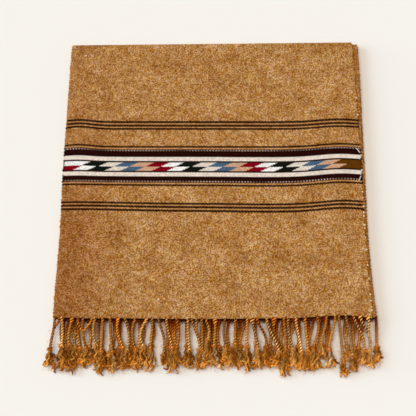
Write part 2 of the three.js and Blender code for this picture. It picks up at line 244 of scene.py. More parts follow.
# %% Bows and swells
HEM_BOWS = [(158, 40, 3.6), (196, 14, -2.0), (-15, 60, -0.9), (-186, 24, 0.9)]  # x, spread, rise
PANEL_BOWS = [  # x, up, spread across, spread along, rise
    (163, 150, 37, 260, 4.0),
    (70, 120, 60, 90, -1.0),
    (-170, 238, 21, 52, 3.2),
    (-165, 125, 80, 40, 2.2),
]
SWELLS = [  # x, up, spread across, spread along, height
    (150, 250, 55, 120, 1.0),
    (-150, 120, 45, 110, 0.7),
    (-20, 290, 90, 60, 0.6),
    (40, 70, 100, 60, 0.55),
]
HEM_BOW_REACH = 60.0  # mm up from the hem, where the panel's own bows take over
FADE_FROM, FADE_OVER = 250.0, 105.0  # mm up from the hem: those bows die out towards the fold


def bell(distance, spread):
    """1 at no distance, 0.37 at one spread and almost 0 at two."""
    return np.exp(-((distance / spread) ** 2))


def hem_bow(x):
    """How far the hem has moved towards the fold, in mm."""
    return sum(rise * bell(x - at, spread) for at, spread, rise in HEM_BOWS)


def panel_bow(x, up):
    """How far a pick of the front panel has moved towards the fold, in mm."""
    bow = sum(r * bell(x - at, a) * bell(up - v, b) for at, v, a, b, r in PANEL_BOWS)
    bow = bow * (1 - np.clip((up - FADE_FROM) / FADE_OVER, 0, 1) ** 2)
    near_hem = bell(up, HEM_BOW_REACH)
    return near_hem * hem_bow(x) + (1 - near_hem) * bow


def swell(x, up):
    """How far the air in the stack lifts its top layer, in mm."""
    return sum(h * bell(x - at, a) * bell(up - v, b) for at, v, a, b, h in SWELLS)


print("Rise of the hem near its right corner, in mm:", round(float(hem_bow(158.0)), 2))

# %% [markdown]
# ## One cloth, folded in four
# The scarf is a single cloth 1.4 m long. It runs up the front, over the far fold, back along the
# table, round the near fold, up again as the inner layer, round inside the far fold and down as
# the under layer. It could be a plane that is bent by modifiers, but a path that is walked row by
# row keeps every layer the right distance from the next. Each row remembers how far along the
# cloth it lies. A shell with rounded selvedges is then laid along the path.

# %% Layers, folds and columns
LAYERS = {  # centre height, share of the swells, share of the hem's bow, where its flat run begins
    "front": (9.2, 1.0, 1.0, 0.0),
    "under": (6.5, 0.72, 0.4, 1.2),
    "inner": (3.8, 0.4, 0.0, 5.95),
    "back": (1.1, 0.0, 0.0, 5.95),
}
FAR_FOLD_Z, OUTER_RADIUS, INNER_RADIUS = 5.15, 4.05, 1.35
NEAR_FOLD_Z, NEAR_RADIUS, NEAR_START = 2.45, 1.35, 5.95
FAR_END_SHORT = 5.15  # the flat runs end this far short of the fold
CORNER_LEFT, CORNER_RIGHT = 1.0, 4.2  # the fold's corners are pulled in by this much

EDGE_STEPS = np.array([0.0, 0.5, 1.3, 3.0])  # mm from the selvedge
EDGE_SHARES = np.array([0.42, 0.82, 1.0, 1.0])  # share of the full thickness there
COLUMN_COUNT = 58  # evenly across the cloth, before the steps at the selvedges are added
NEAR_HALF = 190.0  # mm, about half the width, which turns EDGE_STEPS into shares of it
inner_columns = np.linspace(-1, 1, COLUMN_COUNT)[1:-1]
sides = np.concatenate([-1 + EDGE_STEPS / NEAR_HALF, inner_columns, 1 - EDGE_STEPS[::-1] / NEAR_HALF])
side_share = np.concatenate([EDGE_SHARES, np.ones(len(inner_columns)), EDGE_SHARES[::-1]])
print("Layers:", ", ".join(LAYERS), "with", len(sides), "columns")

# %% A row of each kind


def far_end(x):
    """Where the flat runs end and the far fold begins."""
    return FOLD_UP + FOLD_SKEW * x - FAR_END_SHORT


def flat_row(layer, share, facing):
    """A row of points across a layer's flat run. facing is the z of the cloth's outer face."""
    z, swelling, bowing, start = LAYERS[layer]
    up = start + share * (FOLD_UP - start)
    x = section(layer, up) + sides * section("half", up)
    begin = start + bowing * hem_bow(x)
    y = begin + share * (far_end(x) - begin)
    points = np.stack([x, y, z + swelling * swell(x, y)], axis=1)
    return points, (0.0, facing)


def far_row(upper, lower, radius, angle, facing):
    """A row part way round the far fold, from 0 at its top to pi at its bottom."""
    turned = (1 - math.cos(angle)) / 2
    shift = (1 - turned) * section(upper, FOLD_UP) + turned * section(lower, FOLD_UP)
    pull = math.sin(angle) ** 2 * np.where(sides < 0, CORNER_LEFT, CORNER_RIGHT)
    x = shift + sides * (section("half", FOLD_UP) - pull)
    swelling = (1 - turned) * LAYERS[upper][1] + turned * LAYERS[lower][1]
    y = far_end(x) + radius * math.sin(angle)
    z = FAR_FOLD_Z + radius * math.cos(angle) + swelling * swell(x, far_end(x))
    return np.stack([x, y, z], axis=1), (facing * math.sin(angle), facing * math.cos(angle))


def near_row(angle):
    """A row part way round the near fold, from 0 at the table to pi at the inner layer."""
    turned = (1 - math.cos(angle)) / 2
    shift = (1 - turned) * section("back", NEAR_START) + turned * section("inner", NEAR_START)
    x = shift + sides * section("half", NEAR_START)
    y = np.full_like(x, NEAR_START - NEAR_RADIUS * math.sin(angle))
    lift = turned * LAYERS["inner"][1] * swell(x, NEAR_START)
    z = NEAR_FOLD_Z - NEAR_RADIUS * math.cos(angle) + lift
    return np.stack([x, y, z], axis=1), (-math.sin(angle), -math.cos(angle))


# %% Lay the rows from hem to hem
FRONT_ROWS, HIDDEN_ROWS, FOLD_ROWS = 120, 60, 10
hem_shares = EDGE_STEPS[1:3] / FOLD_UP
front_shares = np.concatenate([[0], hem_shares, np.linspace(0, 1, FRONT_ROWS)[1:]])
hidden_shares = np.linspace(0, 1, HIDDEN_ROWS)
under_shares = np.concatenate([hidden_shares[:0:-1], hem_shares[::-1], [0]])
half_turn = np.linspace(0, math.pi, FOLD_ROWS + 2)[1:-1]

rows = [flat_row("front", s, 1) for s in front_shares]
rows += [far_row("front", "back", OUTER_RADIUS, a, 1) for a in half_turn]
rows += [flat_row("back", s, -1) for s in hidden_shares[::-1]]
rows += [near_row(a) for a in half_turn]
rows += [flat_row("inner", s, 1) for s in hidden_shares]
rows += [far_row("under", "inner", INNER_RADIUS, a, -1) for a in half_turn[::-1]]
rows += [flat_row("under", s, -1) for s in under_shares]

middle = np.array([points for points, _ in rows])  # row, column, xyz
normals = np.array([[0.0, ny, nz] for _, (ny, nz) in rows])[:, None, :]
steps = np.linalg.norm(np.diff(middle, axis=0), axis=2)
walked = np.concatenate([np.zeros((1, len(sides))), np.cumsum(steps, axis=0)])

# %% [markdown]
# ## The cloth's own coordinates
# A stripe follows its pick, not the table, so the material reads a UV map that is measured on the
# cloth: u runs across from the left selvedge and v along from the front hem, both in metres. The
# bows are taken off v on the front panel, which makes the stripes rise where the picks do.

# %% Cloth coordinates and the ripple of the nap
RIPPLE_HEIGHT = 0.16  # mm: the hand-beaten picks leave the surface a little uneven
CALM_HEM, CALM_FOLD, CALM_SIDE = 12.0, 25.0, 10.0  # mm from an edge to where the ripple is full
CALM_HALF = 188.0  # mm, half the width that ripples
front_count = len(front_shares)

cloth_u = np.stack([(1 + sides) * section("half", min(r[0][:, 1].mean(), SECTIONS[-1, 0])) for r in rows])
cloth_v = walked.copy()
x, y = middle[:front_count, :, 0], middle[:front_count, :, 1]
cloth_v[:front_count] = y - panel_bow(x, y)
hem_offset = cloth_v[front_count - 1] - walked[front_count - 1]
cloth_v[front_count:] += hem_offset

calm = np.clip(y / CALM_HEM, 0, 1) * np.clip((FOLD_UP - y) / CALM_FOLD, 0, 1)
calm *= np.clip((CALM_HALF - abs(x)) / CALM_SIDE, 0, 1)
ripple = (
    np.sin(x / 23 + 1.7 * np.sin(y / 41)) * np.sin(y / 17 + 1.3 * np.sin(x / 37))
    + 0.7 * np.sin(x / 9.5 + 2.1 * np.sin(y / 29) + 1.0) * np.sin(y / 8.1 + 1.9 * np.sin(x / 31))
)
middle[:front_count, :, 2] += RIPPLE_HEIGHT * calm * ripple
print("Ripple in mm:", round(float((calm * ripple * RIPPLE_HEIGHT).max()), 2))

# %% [markdown]
# ## Laying the shell
# Two copies of the rows, half a thickness to either side, are joined round the rim. The rim is
# thinner than the rest, because the weft turns there and the cloth rounds off.

# %% How a mesh becomes a piece


def add_piece(name, points, faces, material, uv=None, colours=None):
    """A smooth mesh at the origin, with its place in its vertices."""
    mesh = bpy.data.meshes.new(name)
    mesh.from_pydata(to_part(points).tolist(), [], faces)
    mesh.polygons.foreach_set("use_smooth", np.ones(len(mesh.polygons), bool))
    corners = np.zeros(len(mesh.loops), np.int32)
    mesh.loops.foreach_get("vertex_index", corners)
    if uv is not None:
        layer = mesh.uv_layers.new(name="cloth")
        layer.data.foreach_set("uv", (np.asarray(uv)[corners] * MM).ravel())
    if colours is not None:
        layer = mesh.color_attributes.new("yarn_colour", "FLOAT_COLOR", "POINT")
        layer.data.foreach_set("color", np.asarray(colours, np.float32).ravel())
    mesh.materials.append(material)
    piece = bpy.data.objects.new(name, mesh)
    bpy.context.scene.collection.objects.link(piece)
    mesh.update()
    print(name, "has", sum(len(p.vertices) - 2 for p in mesh.polygons), "triangles")
    return piece


# %% Shape the folded cloth


def quads(*corners):
    """Faces from four grids of corners."""
    return np.stack(corners, axis=-1).reshape(-1, 4)


def shell(centre, normal, half):
    """Points and faces of a closed shell round a grid of rows and columns."""
    row_count, column_count = centre.shape[:2]
    faces_out, faces_in = centre + normal * half, centre - normal * half
    points = np.concatenate([faces_out.reshape(-1, 3), faces_in.reshape(-1, 3)])
    index = np.arange(row_count * column_count).reshape(row_count, column_count)
    other = index + row_count * column_count
    faces = [
        quads(index[:-1, :-1], index[:-1, 1:], index[1:, 1:], index[1:, :-1]),
        quads(other[:-1, :-1], other[1:, :-1], other[1:, 1:], other[:-1, 1:]),
        quads(other[0, :-1], other[0, 1:], index[0, 1:], index[0, :-1]),
        quads(index[-1, :-1], index[-1, 1:], other[-1, 1:], other[-1, :-1]),
        quads(index[:-1, 0], index[1:, 0], other[1:, 0], other[:-1, 0]),
        quads(other[:-1, -1], other[1:, -1], index[1:, -1], index[:-1, -1]),
    ]
    return points, np.concatenate(faces).tolist()


row_share = np.ones(len(rows))
row_share[:3] = EDGE_SHARES[:3]
row_share[-3:] = EDGE_SHARES[2::-1]
half_thickness = (CLOTH / 2) * np.minimum(row_share[:, None], side_share[None, :])[..., None]
cloth_points, cloth_faces = shell(middle, normals, half_thickness)
cloth_uv = np.tile(np.stack([cloth_u.ravel(), cloth_v.ravel()], axis=1), (2, 1))
print("Shell:", len(cloth_points), "points and", len(cloth_faces), "faces")

# %% [markdown]
# ## Hand-woven wool
# The yarn is spun from fleece in several browns and beiges, so each dash of weft has its own
# tone: a heather. The weft is beaten down until it hides the warp. Under a lens that gives small
# ovals, one dash wide and one pick high. The node tree is built in steps, one for each thing that
# the spinner, the dyer and the weaver did, and a few helpers keep its sums short.

# %% Sums and mixes for the woven wool
wool, wool_tree = new_material("hand-woven wool")


def maths(operation, first, second=0.0):
    return add_node(wool_tree, "Math", {0: first, 1: second}, operation=operation).outputs[0]


def weighted(parts, offset=0.0):
    """The sum of values, each times its weight, and of an offset."""
    products = [maths("MULTIPLY", value, weight) for value, weight in parts]
    total = products[0]
    for product in products[1:]:
        total = maths("ADD", total, product)
    return maths("ADD", total, offset)


def mix(share, first, second, blend="MIX"):
    """A colour between the first, at share 0, and the second, at share 1."""
    node = add_node(wool_tree, "Mix", data_type="RGBA", blend_type=blend)
    for socket, value in (("Factor", share), ("A", first), ("B", second)):
        target = next(s for s in node.inputs if s.name == socket and s.enabled)
        if isinstance(value, bpy.types.NodeSocket):
            wool_tree.links.new(value, target)
        else:
            target.default_value = value
    return next(s for s in node.outputs if s.enabled)


def noise(vector, scale, detail, roughness=0.5):
    """Cloudy noise. One over scale is the width of its clouds in mm."""
    settings = {"Vector": vector, "Scale": scale, "Detail": detail, "Roughness": roughness}
    return add_node(wool_tree, "TexNoise", settings).outputs


cloth_place = add_node(wool_tree, "UVMap", uv_map="cloth")
in_mm = scaled(wool_tree, cloth_place.outputs[0], 1 / MM)
axes = add_node(wool_tree, "SeparateXYZ", {0: in_mm})
across, along = axes.outputs["X"], axes.outputs["Y"]
print("Started the", wool.name)

# %% [markdown]
# ## Heather
# White noise deals each dash its tone and its hue, as chance does at the spinning wheel. Every pick
# is shifted against the one below it, because the weft passes over other warps. Pale fleece is
# also the pinker one, and dark fleece the more golden. Here and there a slub of cream fleece was
# spun in.

# %% A tone and a hue for each dash of weft
PICK = 1.2  # mm from one pick to the next
DASH = 1.2  # mm that a pick floats before it dips under a warp
PICK_SHIFT = 0.37  # of a dash, from one pick to the next
DARK_BIAS = 1.15  # above 1, so dark fleece is a little commoner than pale
DARK_FLEECE, PALE_FLEECE, SLUB_FLEECE = linear("864a00"), linear("cda26c"), linear("f2e2c8")
GOLDEN, PINKISH = [1.07, 0.975, 0.34, 1.0], [0.93, 0.965, 1.44, 1.0]  # factors on a colour
RUDDY, GREENISH = [1.05, 0.94, 0.9, 1.0], [0.95, 1.06, 1.02, 1.0]
SLUB_APART, SLUB_SIZE = 22.0, 0.9  # mm between pale slubs, and from the middle of one to its rim

pick_number = maths("FLOOR", maths("DIVIDE", along, PICK))
shifted = maths("ADD", maths("DIVIDE", across, DASH), maths("MULTIPLY", pick_number, PICK_SHIFT))
cell = add_node(wool_tree, "CombineXYZ", {"X": maths("FLOOR", shifted), "Y": pick_number})
dealt = add_node(wool_tree, "TexWhiteNoise", {"Vector": cell.outputs[0]}, noise_dimensions="2D")
fleece = add_node(wool_tree, "SeparateColor", {"Color": dealt.outputs["Color"]}).outputs
pale = maths("POWER", fleece["Red"], DARK_BIAS)
heather = mix(pale, DARK_FLEECE, PALE_FLEECE)

clumps = noise(in_mm, 0.14, 3.0)
soft = add_node(wool_tree, "SeparateColor", {"Color": clumps["Color"]}).outputs
hue = weighted([(fleece["Green"], 0.9), (soft["Green"], 0.4), (pale, 0.4)], -0.34)
heather = mix(1.0, heather, mix(hue, GOLDEN, PINKISH), "MULTIPLY")
redness = weighted([(fleece["Blue"], 0.8), (soft["Blue"], 1.0)], -0.4)
heather = mix(1.0, heather, mix(redness, RUDDY, GREENISH), "MULTIPLY")

slubs = add_node(wool_tree, "TexVoronoi", {"Vector": in_mm, "Scale": 1 / SLUB_APART})
slub = maths("LESS_THAN", slubs.outputs["Distance"], SLUB_SIZE / SLUB_APART)
heather = mix(maths("MULTIPLY", slub, 0.8), heather, SLUB_FLEECE)
print("Heather of dashes", DASH, "by", PICK, "mm")

# %% [markdown]
# ## Uneven fleece
# Fleece isn't blended evenly: there are clumps a few millimetres wide, slow changes over a few
# centimetres, and streaks along the picks. The cloth is darker and redder in a strip along the left
# selvedge, most of all near the hem. Where the fleece is darker it is also redder, and where it is
# paler it is greyer, so red, green and blue follow the unevenness more and more strongly.

# %% Clumps, patches, streaks and a darker strip
UNEVEN_POWERS = (0.7, 1.03, 1.7)  # how strongly red, green and blue follow the uneven fleece
STRIP_WIDE = 100.0  # mm from the left selvedge to where the darker strip has died out
STRIP_TINT = [0.75, 0.61, 0.5, 1.0]
AS_IT_IS = [1.0, 1.0, 1.0, 1.0]

strip = ranged(wool_tree, across, (0.0, STRIP_WIDE), (1.0, 0.0), interpolation_type="SMOOTHERSTEP")
strip = maths("MULTIPLY", strip, ranged(wool_tree, along, (110.0, 300.0), (1.0, 0.3)))
heather = mix(1.0, heather, mix(strip, AS_IT_IS, STRIP_TINT), "MULTIPLY")

patches = noise(in_mm, 0.035, 2.0)
stretched = add_node(wool_tree, "Mapping", {"Vector": in_mm, "Scale": (0.02, 0.35, 1.0)})
streaks = noise(stretched.outputs[0], 1.0, 1.0)
shares = [(clumps["Fac"], 0.85), (patches["Fac"], 1.15), (streaks["Fac"], 0.2)]
brightness = weighted(shares, -0.08)
powers = {axis: maths("POWER", brightness, power) for axis, power in zip("XYZ", UNEVEN_POWERS)}
changed = add_node(wool_tree, "CombineXYZ", powers)
heather = mix(1.0, heather, changed.outputs[0], "MULTIPLY")
print("The darker strip is", STRIP_WIDE, "mm wide")

# %% [markdown]
# ## Stripes
# A weaver makes a stripe by changing the weft. The colour of a place on the cloth therefore depends
# on its distance from the middle of the band, and a colour ramp that holds each colour until the
# next stop is the list of yarns. The picks dip between the warps, so the edges are scalloped.

# %% The dyed yarns and their stripes
YARN = {
    "dark": "220502",
    "outline": "241008",
    "cream": "e0d1c4",
    "orange": "be864e",
    "white": "ece9e6",
    "black": "0c120c",
    "sand": "dacdc0",
    "blue": "445d76",
    "peach": "c89b7b",
    "red": "7c0014",
    "brown": "5a3205",
}
BAND_UP = 191.0  # mm from the hem to the middle of the patterned band
# From the middle of the band outwards: where a yarn begins, its name, and how far it hides the
# heather. The same list serves both sides, because the band is woven alike up and down.
STRIPES = [
    (0.0, "cream", 1.0),
    (5.5, "outline", 1.0),
    (7.5, "cream", 1.0),
    (12.6, "dark", 1.0),
    (21.9, "orange", 0.5),
    (23.8, "dark", 1.0),
    (26.5, "orange", 0.0),
    (47.6, "dark", 1.0),
    (50.5, "orange", 0.45),
    (52.0, "dark", 1.0),
    (54.9, "orange", 0.45),
    (56.7, "dark", 1.0),
    (59.6, "orange", 0.0),
]
STRIPES_END = 64.0  # mm, where the list of stripes is over
print("Stripes:", len(STRIPES), "on each side of the band, from", len(YARN), "yarns")

# %% Weave the stripes in
BAND_SAG, SAG_REACH = 1.0, 15.0  # mm: the cream and the lozenges lie that much lower than the rest
STITCH = 3.7  # mm: a real stitch is 1.8, which would be too fine to show, so it is drawn coarser
SCALLOP = 0.35  # mm, how deep the edges of the stripes wave
COVERED = 22.0  # mm from the middle of the band, as far as the yarns hide the heather completely


def held_ramp(factor, stops):
    """A colour ramp that holds each colour until the next stop."""
    ramp = add_node(wool_tree, "ValToRGB", {"Fac": factor})
    ramp.color_ramp.interpolation = "CONSTANT"
    elements = ramp.color_ramp.elements
    elements.remove(elements[1])
    elements[0].position, elements[0].color = stops[0]
    for position, colour in stops[1:]:
        elements.new(position).color = colour
    return ramp.outputs["Color"]


along_stitch = maths("MULTIPLY", across, 2 * math.pi / STITCH)
from_band = weighted([(along, 1.0), (maths("SINE", along_stitch), SCALLOP)], -BAND_UP)
sagging = maths("LESS_THAN", maths("ABSOLUTE", from_band), SAG_REACH)
from_band = maths("ADD", from_band, maths("MULTIPLY", sagging, BAND_SAG))
out_from_band = maths("ABSOLUTE", from_band)
distance = maths("DIVIDE", out_from_band, STRIPES_END)
dyed = held_ramp(distance, [(at / STRIPES_END, linear(YARN[yarn])) for at, yarn, _ in STRIPES])
hides = held_ramp(distance, [(at / STRIPES_END, [share] * 3 + [1.0]) for at, _, share in STRIPES])

# Outside the band the heather shows through, where the weft is worn or dips under a warp.
warps = maths("COSINE", along_stitch)
covering = weighted([(warps, 0.05), (fleece["Blue"], -0.12)], 1.0)
covering = maths("MAXIMUM", covering, maths("LESS_THAN", out_from_band, COVERED))
lightness = weighted([(fleece["Red"], 0.4)], 0.8)  # each dash of a dyed yarn has its own
striped = mix(maths("MULTIPLY", hides, covering), heather, scaled(wool_tree, dyed, lightness))
print("The stripes reach", BAND_UP + STRIPES_END, "mm up from the hem")

# %% Cream stitches
STITCH_ROW, STITCH_HALF = 20.3, 0.7  # mm from the middle of the band, and half a stitch's height
STITCH_YARN = linear("f6dccb")

# They lie near the outer edge of each wide dark stripe, and fade in and out.
stitch = maths("GREATER_THAN", warps, 0.3)
from_row = maths("ABSOLUTE", maths("SUBTRACT", out_from_band, STITCH_ROW))
stitch = maths("MULTIPLY", stitch, maths("LESS_THAN", from_row, STITCH_HALF))
shown = ranged(wool_tree, noise(in_mm, 0.03, 1.0)["Fac"], (0.35, 0.6), (0.15, 0.75))
stitched = mix(maths("MULTIPLY", stitch, shown), striped, STITCH_YARN)
print("Cream stitches every", STITCH, "mm")

# %% [markdown]
# ## Lozenges
# Two rows of lozenges lean to the right, and the lower row is dealt one lozenge later. Their yarns
# come in turn, as the weaver lays them in by hand. The pick that a place is on decides how far the
# edges lean there, which gives them the steps that all woven slants have.

# %% Lay the lozenges in
# Where each yarn begins in the repeat, in lozenges: the weaver gave black more than its share.
LOZENGES = [("white", 0.0), ("black", 0.88), ("sand", 2.0), ("blue", 3.0), ("peach", 3.97), ("red", 4.97)]
REPEAT = float(len(LOZENGES))
LOZENGE_ROW = 5.5  # mm
LOZENGE_WIDE = 19.7
LOZENGE_LEAN = 2.1  # mm to the right for each mm up
FIRST_EDGE = 24.2  # mm from the left selvedge to the end of the first, at the middle of the band
LOZENGE_COUNT = 17  # then plain brown as far as the right selvedge

pick = maths("MULTIPLY", maths("FLOOR", maths("DIVIDE", from_band, PICK)), PICK)
lean = maths("MULTIPLY", maths("ADD", pick, PICK / 2), LOZENGE_LEAN)
leaning = maths("SUBTRACT", maths("SUBTRACT", across, FIRST_EDGE), lean)
number = maths("MAXIMUM", maths("ADD", maths("DIVIDE", leaning, LOZENGE_WIDE), 1.0), 0.0)
number = maths("SUBTRACT", number, maths("LESS_THAN", from_band, 0.0))
turn_of = maths("DIVIDE", maths("FLOORED_MODULO", number, REPEAT), REPEAT)
lozenge = held_ramp(turn_of, [(begin / REPEAT, linear(YARN[yarn])) for yarn, begin in LOZENGES])
past_last = maths("GREATER_THAN", number, float(LOZENGE_COUNT))
lozenge = scaled(wool_tree, mix(past_last, lozenge, linear(YARN["brown"])), lightness)
banded = mix(maths("LESS_THAN", out_from_band, LOZENGE_ROW), stitched, lozenge)
print("Lozenges:", LOZENGE_COUNT, "to a row")

# %% [markdown]
# ## Relief and finish
# Two sines that are multiplied give the ovals of weft their relief, and fine noise is the fuzz over
# them. The furrows between the ovals hold a little shadow. Wool is matt, and the fibres that stand
# out of it catch a soft sheen.

# %% Finish the woven wool
sine_across = maths("SINE", maths("MULTIPLY", across, math.pi / DASH))
sine_along = maths("SINE", maths("MULTIPLY", along, math.pi / PICK))
ovals = maths("MULTIPLY", sine_across, sine_along)
fuzz = noise(in_mm, 1.4, 4.0, roughness=0.7)["Fac"]
relief = weighted([(ovals, 0.3), (fuzz, 1.0)])
grain = ranged(wool_tree, fuzz, (0.3, 0.7), (0.94, 1.06))
shade = maths("MULTIPLY", weighted([(ovals, 0.06)], 1.0), grain)
bump = add_node(wool_tree, "Bump", {"Height": relief, "Strength": 0.5, "Distance": 0.28 * MM})
finish = {
    "Base Color": scaled(wool_tree, banded, shade),
    "Roughness": 0.92,
    "Specular IOR Level": 0.04,
    "Sheen Weight": 0.01,
    "Sheen Roughness": 0.6,
    "Sheen Tint": linear("e8c79a"),
    "Normal": bump.outputs[0],
}
shader = add_node(wool_tree, "BsdfPrincipled", finish)
add_node(wool_tree, "OutputMaterial", {"Surface": shader.outputs[0]})
print("Woven wool has", len(wool_tree.nodes), "nodes")
scarf = add_piece("scarf_cloth", cloth_points, cloth_faces, wool, uv=cloth_uv)

# %% [markdown]
# ## Yarn as tubes
# Everything else on the scarf is yarn: the turns of weft along the selvedges, the twisted cords,
# the knots and the loose ends. Curve objects with a bevel could draw them, one by one. Hundreds
# are needed, so one function sweeps a whole batch of paths at once: a ring of corners is carried
# along each path without twisting, and the ends are closed.

# %% Sweep a batch of tubes


def sweep(paths, radii, ring):
    """Tubes along paths (tube, point, xyz) with radii (tube, point). Returns points and faces."""
    paths, radii = np.asarray(paths, float), np.asarray(radii, float)
    tubes, count = paths.shape[:2]
    tangents = np.gradient(paths, axis=1)
    tangents /= np.linalg.norm(tangents, axis=2, keepdims=True) + 1e-12
    start = np.where(np.abs(tangents[:, 0, 2:]) < 0.8, [[0.0, 0.0, 1.0]], [[1.0, 0.0, 0.0]])
    first = np.cross(tangents[:, 0], start)
    normal = first / np.linalg.norm(first, axis=1, keepdims=True)
    sideways = [normal]
    for i in range(1, count):
        normal = normal - tangents[:, i] * np.sum(normal * tangents[:, i], axis=1, keepdims=True)
        normal = normal / (np.linalg.norm(normal, axis=1, keepdims=True) + 1e-12)
        sideways.append(normal)
    sideways = np.stack(sideways, axis=1)
    other = np.cross(tangents, sideways)
    turn = np.arange(ring) * 2 * math.pi / ring
    spokes = (
        sideways[:, :, None] * np.cos(turn)[:, None] + other[:, :, None] * np.sin(turn)[:, None]
    )
    points = paths[:, :, None] + spokes * radii[:, :, None, None]
    index = np.arange(tubes * count * ring).reshape(tubes, count, ring)
    ahead = np.roll(index, -1, axis=2)
    faces = quads(index[:, :-1], ahead[:, :-1], ahead[:, 1:], index[:, 1:]).tolist()
    faces += index[:, 0, ::-1].tolist() + index[:, -1].tolist()
    return points.reshape(-1, 3), faces


# %% [markdown]
# ## Shade that stays in the yarn
# Light hardly reaches the grooves of real rope or its underside, so they lie in shade. That
# shade is painted into the colours of the yarn, point by point, and a basket collects the batches
# of tubes that become one piece.

# %% A basket for yarn
PAINTED_GROOVE_SHADE = np.array(linear("280a00"))  # painted shade in the grooves, a dark rust brown
GROOVE_DEEP = 1.95  # mm from a twist's middle to where its painted shade ends
GROOVE_POWER, GROOVE_MOST = 3.4, 1.1  # how fast it pales outwards, and where that stops
UNDERSIDE = 0.1  # how much of its brightness the underside of a ply keeps under painted shade
SHADE_TINT = [0.8, 1.45, 2.4, 1.0]  # light that went from yarn to yarn is redder


def shade_twist(colours, rings, paths, radii, core):
    """Colours with painted shade near the core of a twist and on the underside of its plies."""
    away = np.linalg.norm(rings - core[:, :, None], axis=3).reshape(-1, 1) / GROOVE_DEEP
    colours = PAINTED_GROOVE_SHADE + (colours - PAINTED_GROOVE_SHADE) * np.clip(away, 0, GROOVE_MOST) ** GROOVE_POWER
    height = rings[..., 2] - paths[:, :, None, 2]
    upward = np.clip((height / radii[:, :, None] + 1) / 2, 0, 1).reshape(-1, 1)
    return colours * (UNDERSIDE + (1 - UNDERSIDE) * upward) ** SHADE_TINT


class YarnBasket:
    """Collects batches of tubes that become one piece."""

    def __init__(self):
        self.points, self.faces, self.colours, self.uv, self.count = [], [], [], [], 0

    def add(self, paths, radii, ring, colours, core=None):
        """colours holds one for each tube, and core the middle of a twist, round which shade is painted.
        """
        points, faces = sweep(paths, radii, ring)
        self.points.append(points)
        self.faces += [[corner + self.count for corner in face] for face in faces]
        colours = np.repeat(np.asarray(colours, float), len(points) // len(paths), axis=0)
        if core is not None:
            rings = points.reshape(*paths.shape[:2], ring, 3)
            colours = shade_twist(colours, rings, paths, radii, core)
        self.colours.append(colours)
        lengths = np.linalg.norm(np.diff(paths, axis=1), axis=2).cumsum(axis=1)
        v = np.concatenate([np.zeros((len(paths), 1)), lengths], axis=1)
        v, u = np.broadcast_arrays(v[:, :, None], np.arange(ring)[None, None, :] * 1.0)
        self.uv.append(np.stack([u.ravel(), v.ravel()], axis=1))
        self.count += len(points)

    def piece(self, name, material):
        everything = [np.concatenate(part) for part in (self.points, self.uv, self.colours)]
        points, uv, colours = everything
        return add_piece(name, points, self.faces, material, uv=uv, colours=colours)


print("Grooves are", GROOVE_DEEP, "mm deep")

# %% [markdown]
# ## The selvedges
# Where a pick reaches the edge it turns round the last warp and goes back. Each turn shows as a
# small bead of yarn. A C-shaped tube makes one, laid round the rim of the cloth. A bead takes the
# yarn of the stripe that it turns in. The rest are golden, rubbed by wear, and some of those at the
# right selvedge are cream.

# %% Beads along a selvedge
TURN_PITCH = 3.9  # mm, about three picks: a bead to each turn would be too fine to show
TURN_RADIUS = 1.35
TURN_POINTS, TURN_RING = 7, 6
BEAD_BEND = 105  # degrees to either side of straight out
BEAD_SINK, BEAD_TALL, BEAD_SLANT = 0.75, 0.45, 0.45  # mm: into the rim, up and down, and along it
rng = np.random.default_rng(11)


def along_edge(column, v):
    """Points of the rim and the cloth's normals there, at distances v along the cloth."""
    line, normal = middle[:, column], normals[:, 0]
    reached = [np.interp(v, walked[:, column], values) for values in (*line.T, *normal.T)]
    return np.stack(reached[:3], axis=1), np.stack(reached[3:], axis=1)


def edge_turns(column, outward):
    """Paths and radii of the beads of one selvedge, and how far along the cloth each is."""
    v = np.arange(TURN_PITCH / 2, walked[-1, column], TURN_PITCH)
    v = v + rng.uniform(-0.5, 0.5, len(v))
    rim, normal = along_edge(column, v)
    ahead, _ = along_edge(column, v + 1.0)
    forward = ahead - rim
    forward /= np.linalg.norm(forward, axis=1, keepdims=True) + 1e-9
    out = np.array([outward, 0.0, 0.0])
    bend = np.radians(np.linspace(-BEAD_BEND, BEAD_BEND, TURN_POINTS))[None, :, None]
    reach = rng.uniform(0.5, 1.1, len(v))[:, None, None]
    paths = (
        rim[:, None]
        + out * (np.cos(bend) * reach - BEAD_SINK)
        + normal[:, None] * np.sin(bend) * BEAD_TALL
        + forward[:, None] * bend * BEAD_SLANT
    )
    swell_out = 0.45 + 0.55 * np.cos(np.linspace(-1.3, 1.3, TURN_POINTS))
    radii = TURN_RADIUS * swell_out[None, :] * rng.uniform(0.8, 1.1, len(v))[:, None]
    paths[..., 2] = np.maximum(paths[..., 2], radii + 0.05)
    return paths, radii, np.interp(v, walked[:, column], cloth_v[:, column])


# %% The yarn of each bead
EDGE_TONES = ["c08030", "b0701e", "cc9044", "8a5210", "a4661a"]  # the weft, rubbed golden
CREAM_TURNS = 0.35  # share of the turns that a carried cream yarn makes, at the right selvedge
CREAM_RUNS = [(0, 160), (228, 290)]  # mm along the cloth, where it is carried


def edge_yarn(v, right, rng):
    """The yarn that turns at v mm along the cloth: that of its stripe, or one of the plain ones."""
    from_band = abs(v - BAND_UP)
    if from_band < STRIPES_END:
        begins, name, share = [stripe for stripe in STRIPES if stripe[0] <= from_band][-1]
        if share > 0.9:
            return linear(YARN["brown" if begins == 0.0 and right else name])
    carried = right and any(begin < v < end for begin, end in CREAM_RUNS)
    if carried and rng.random() < CREAM_TURNS:
        return linear("f4dcb0")
    return linear(EDGE_TONES[rng.integers(0, len(EDGE_TONES))])


turns = YarnBasket()
for column, outward in ((0, -1.0), (len(sides) - 1, 1.0)):
    paths, radii, v = edge_turns(column, outward)
    turns.add(paths, radii, TURN_RING, [edge_yarn(at, outward > 0, rng) for at in v])
print("Turns of weft:", turns.count // (TURN_RING * TURN_POINTS))

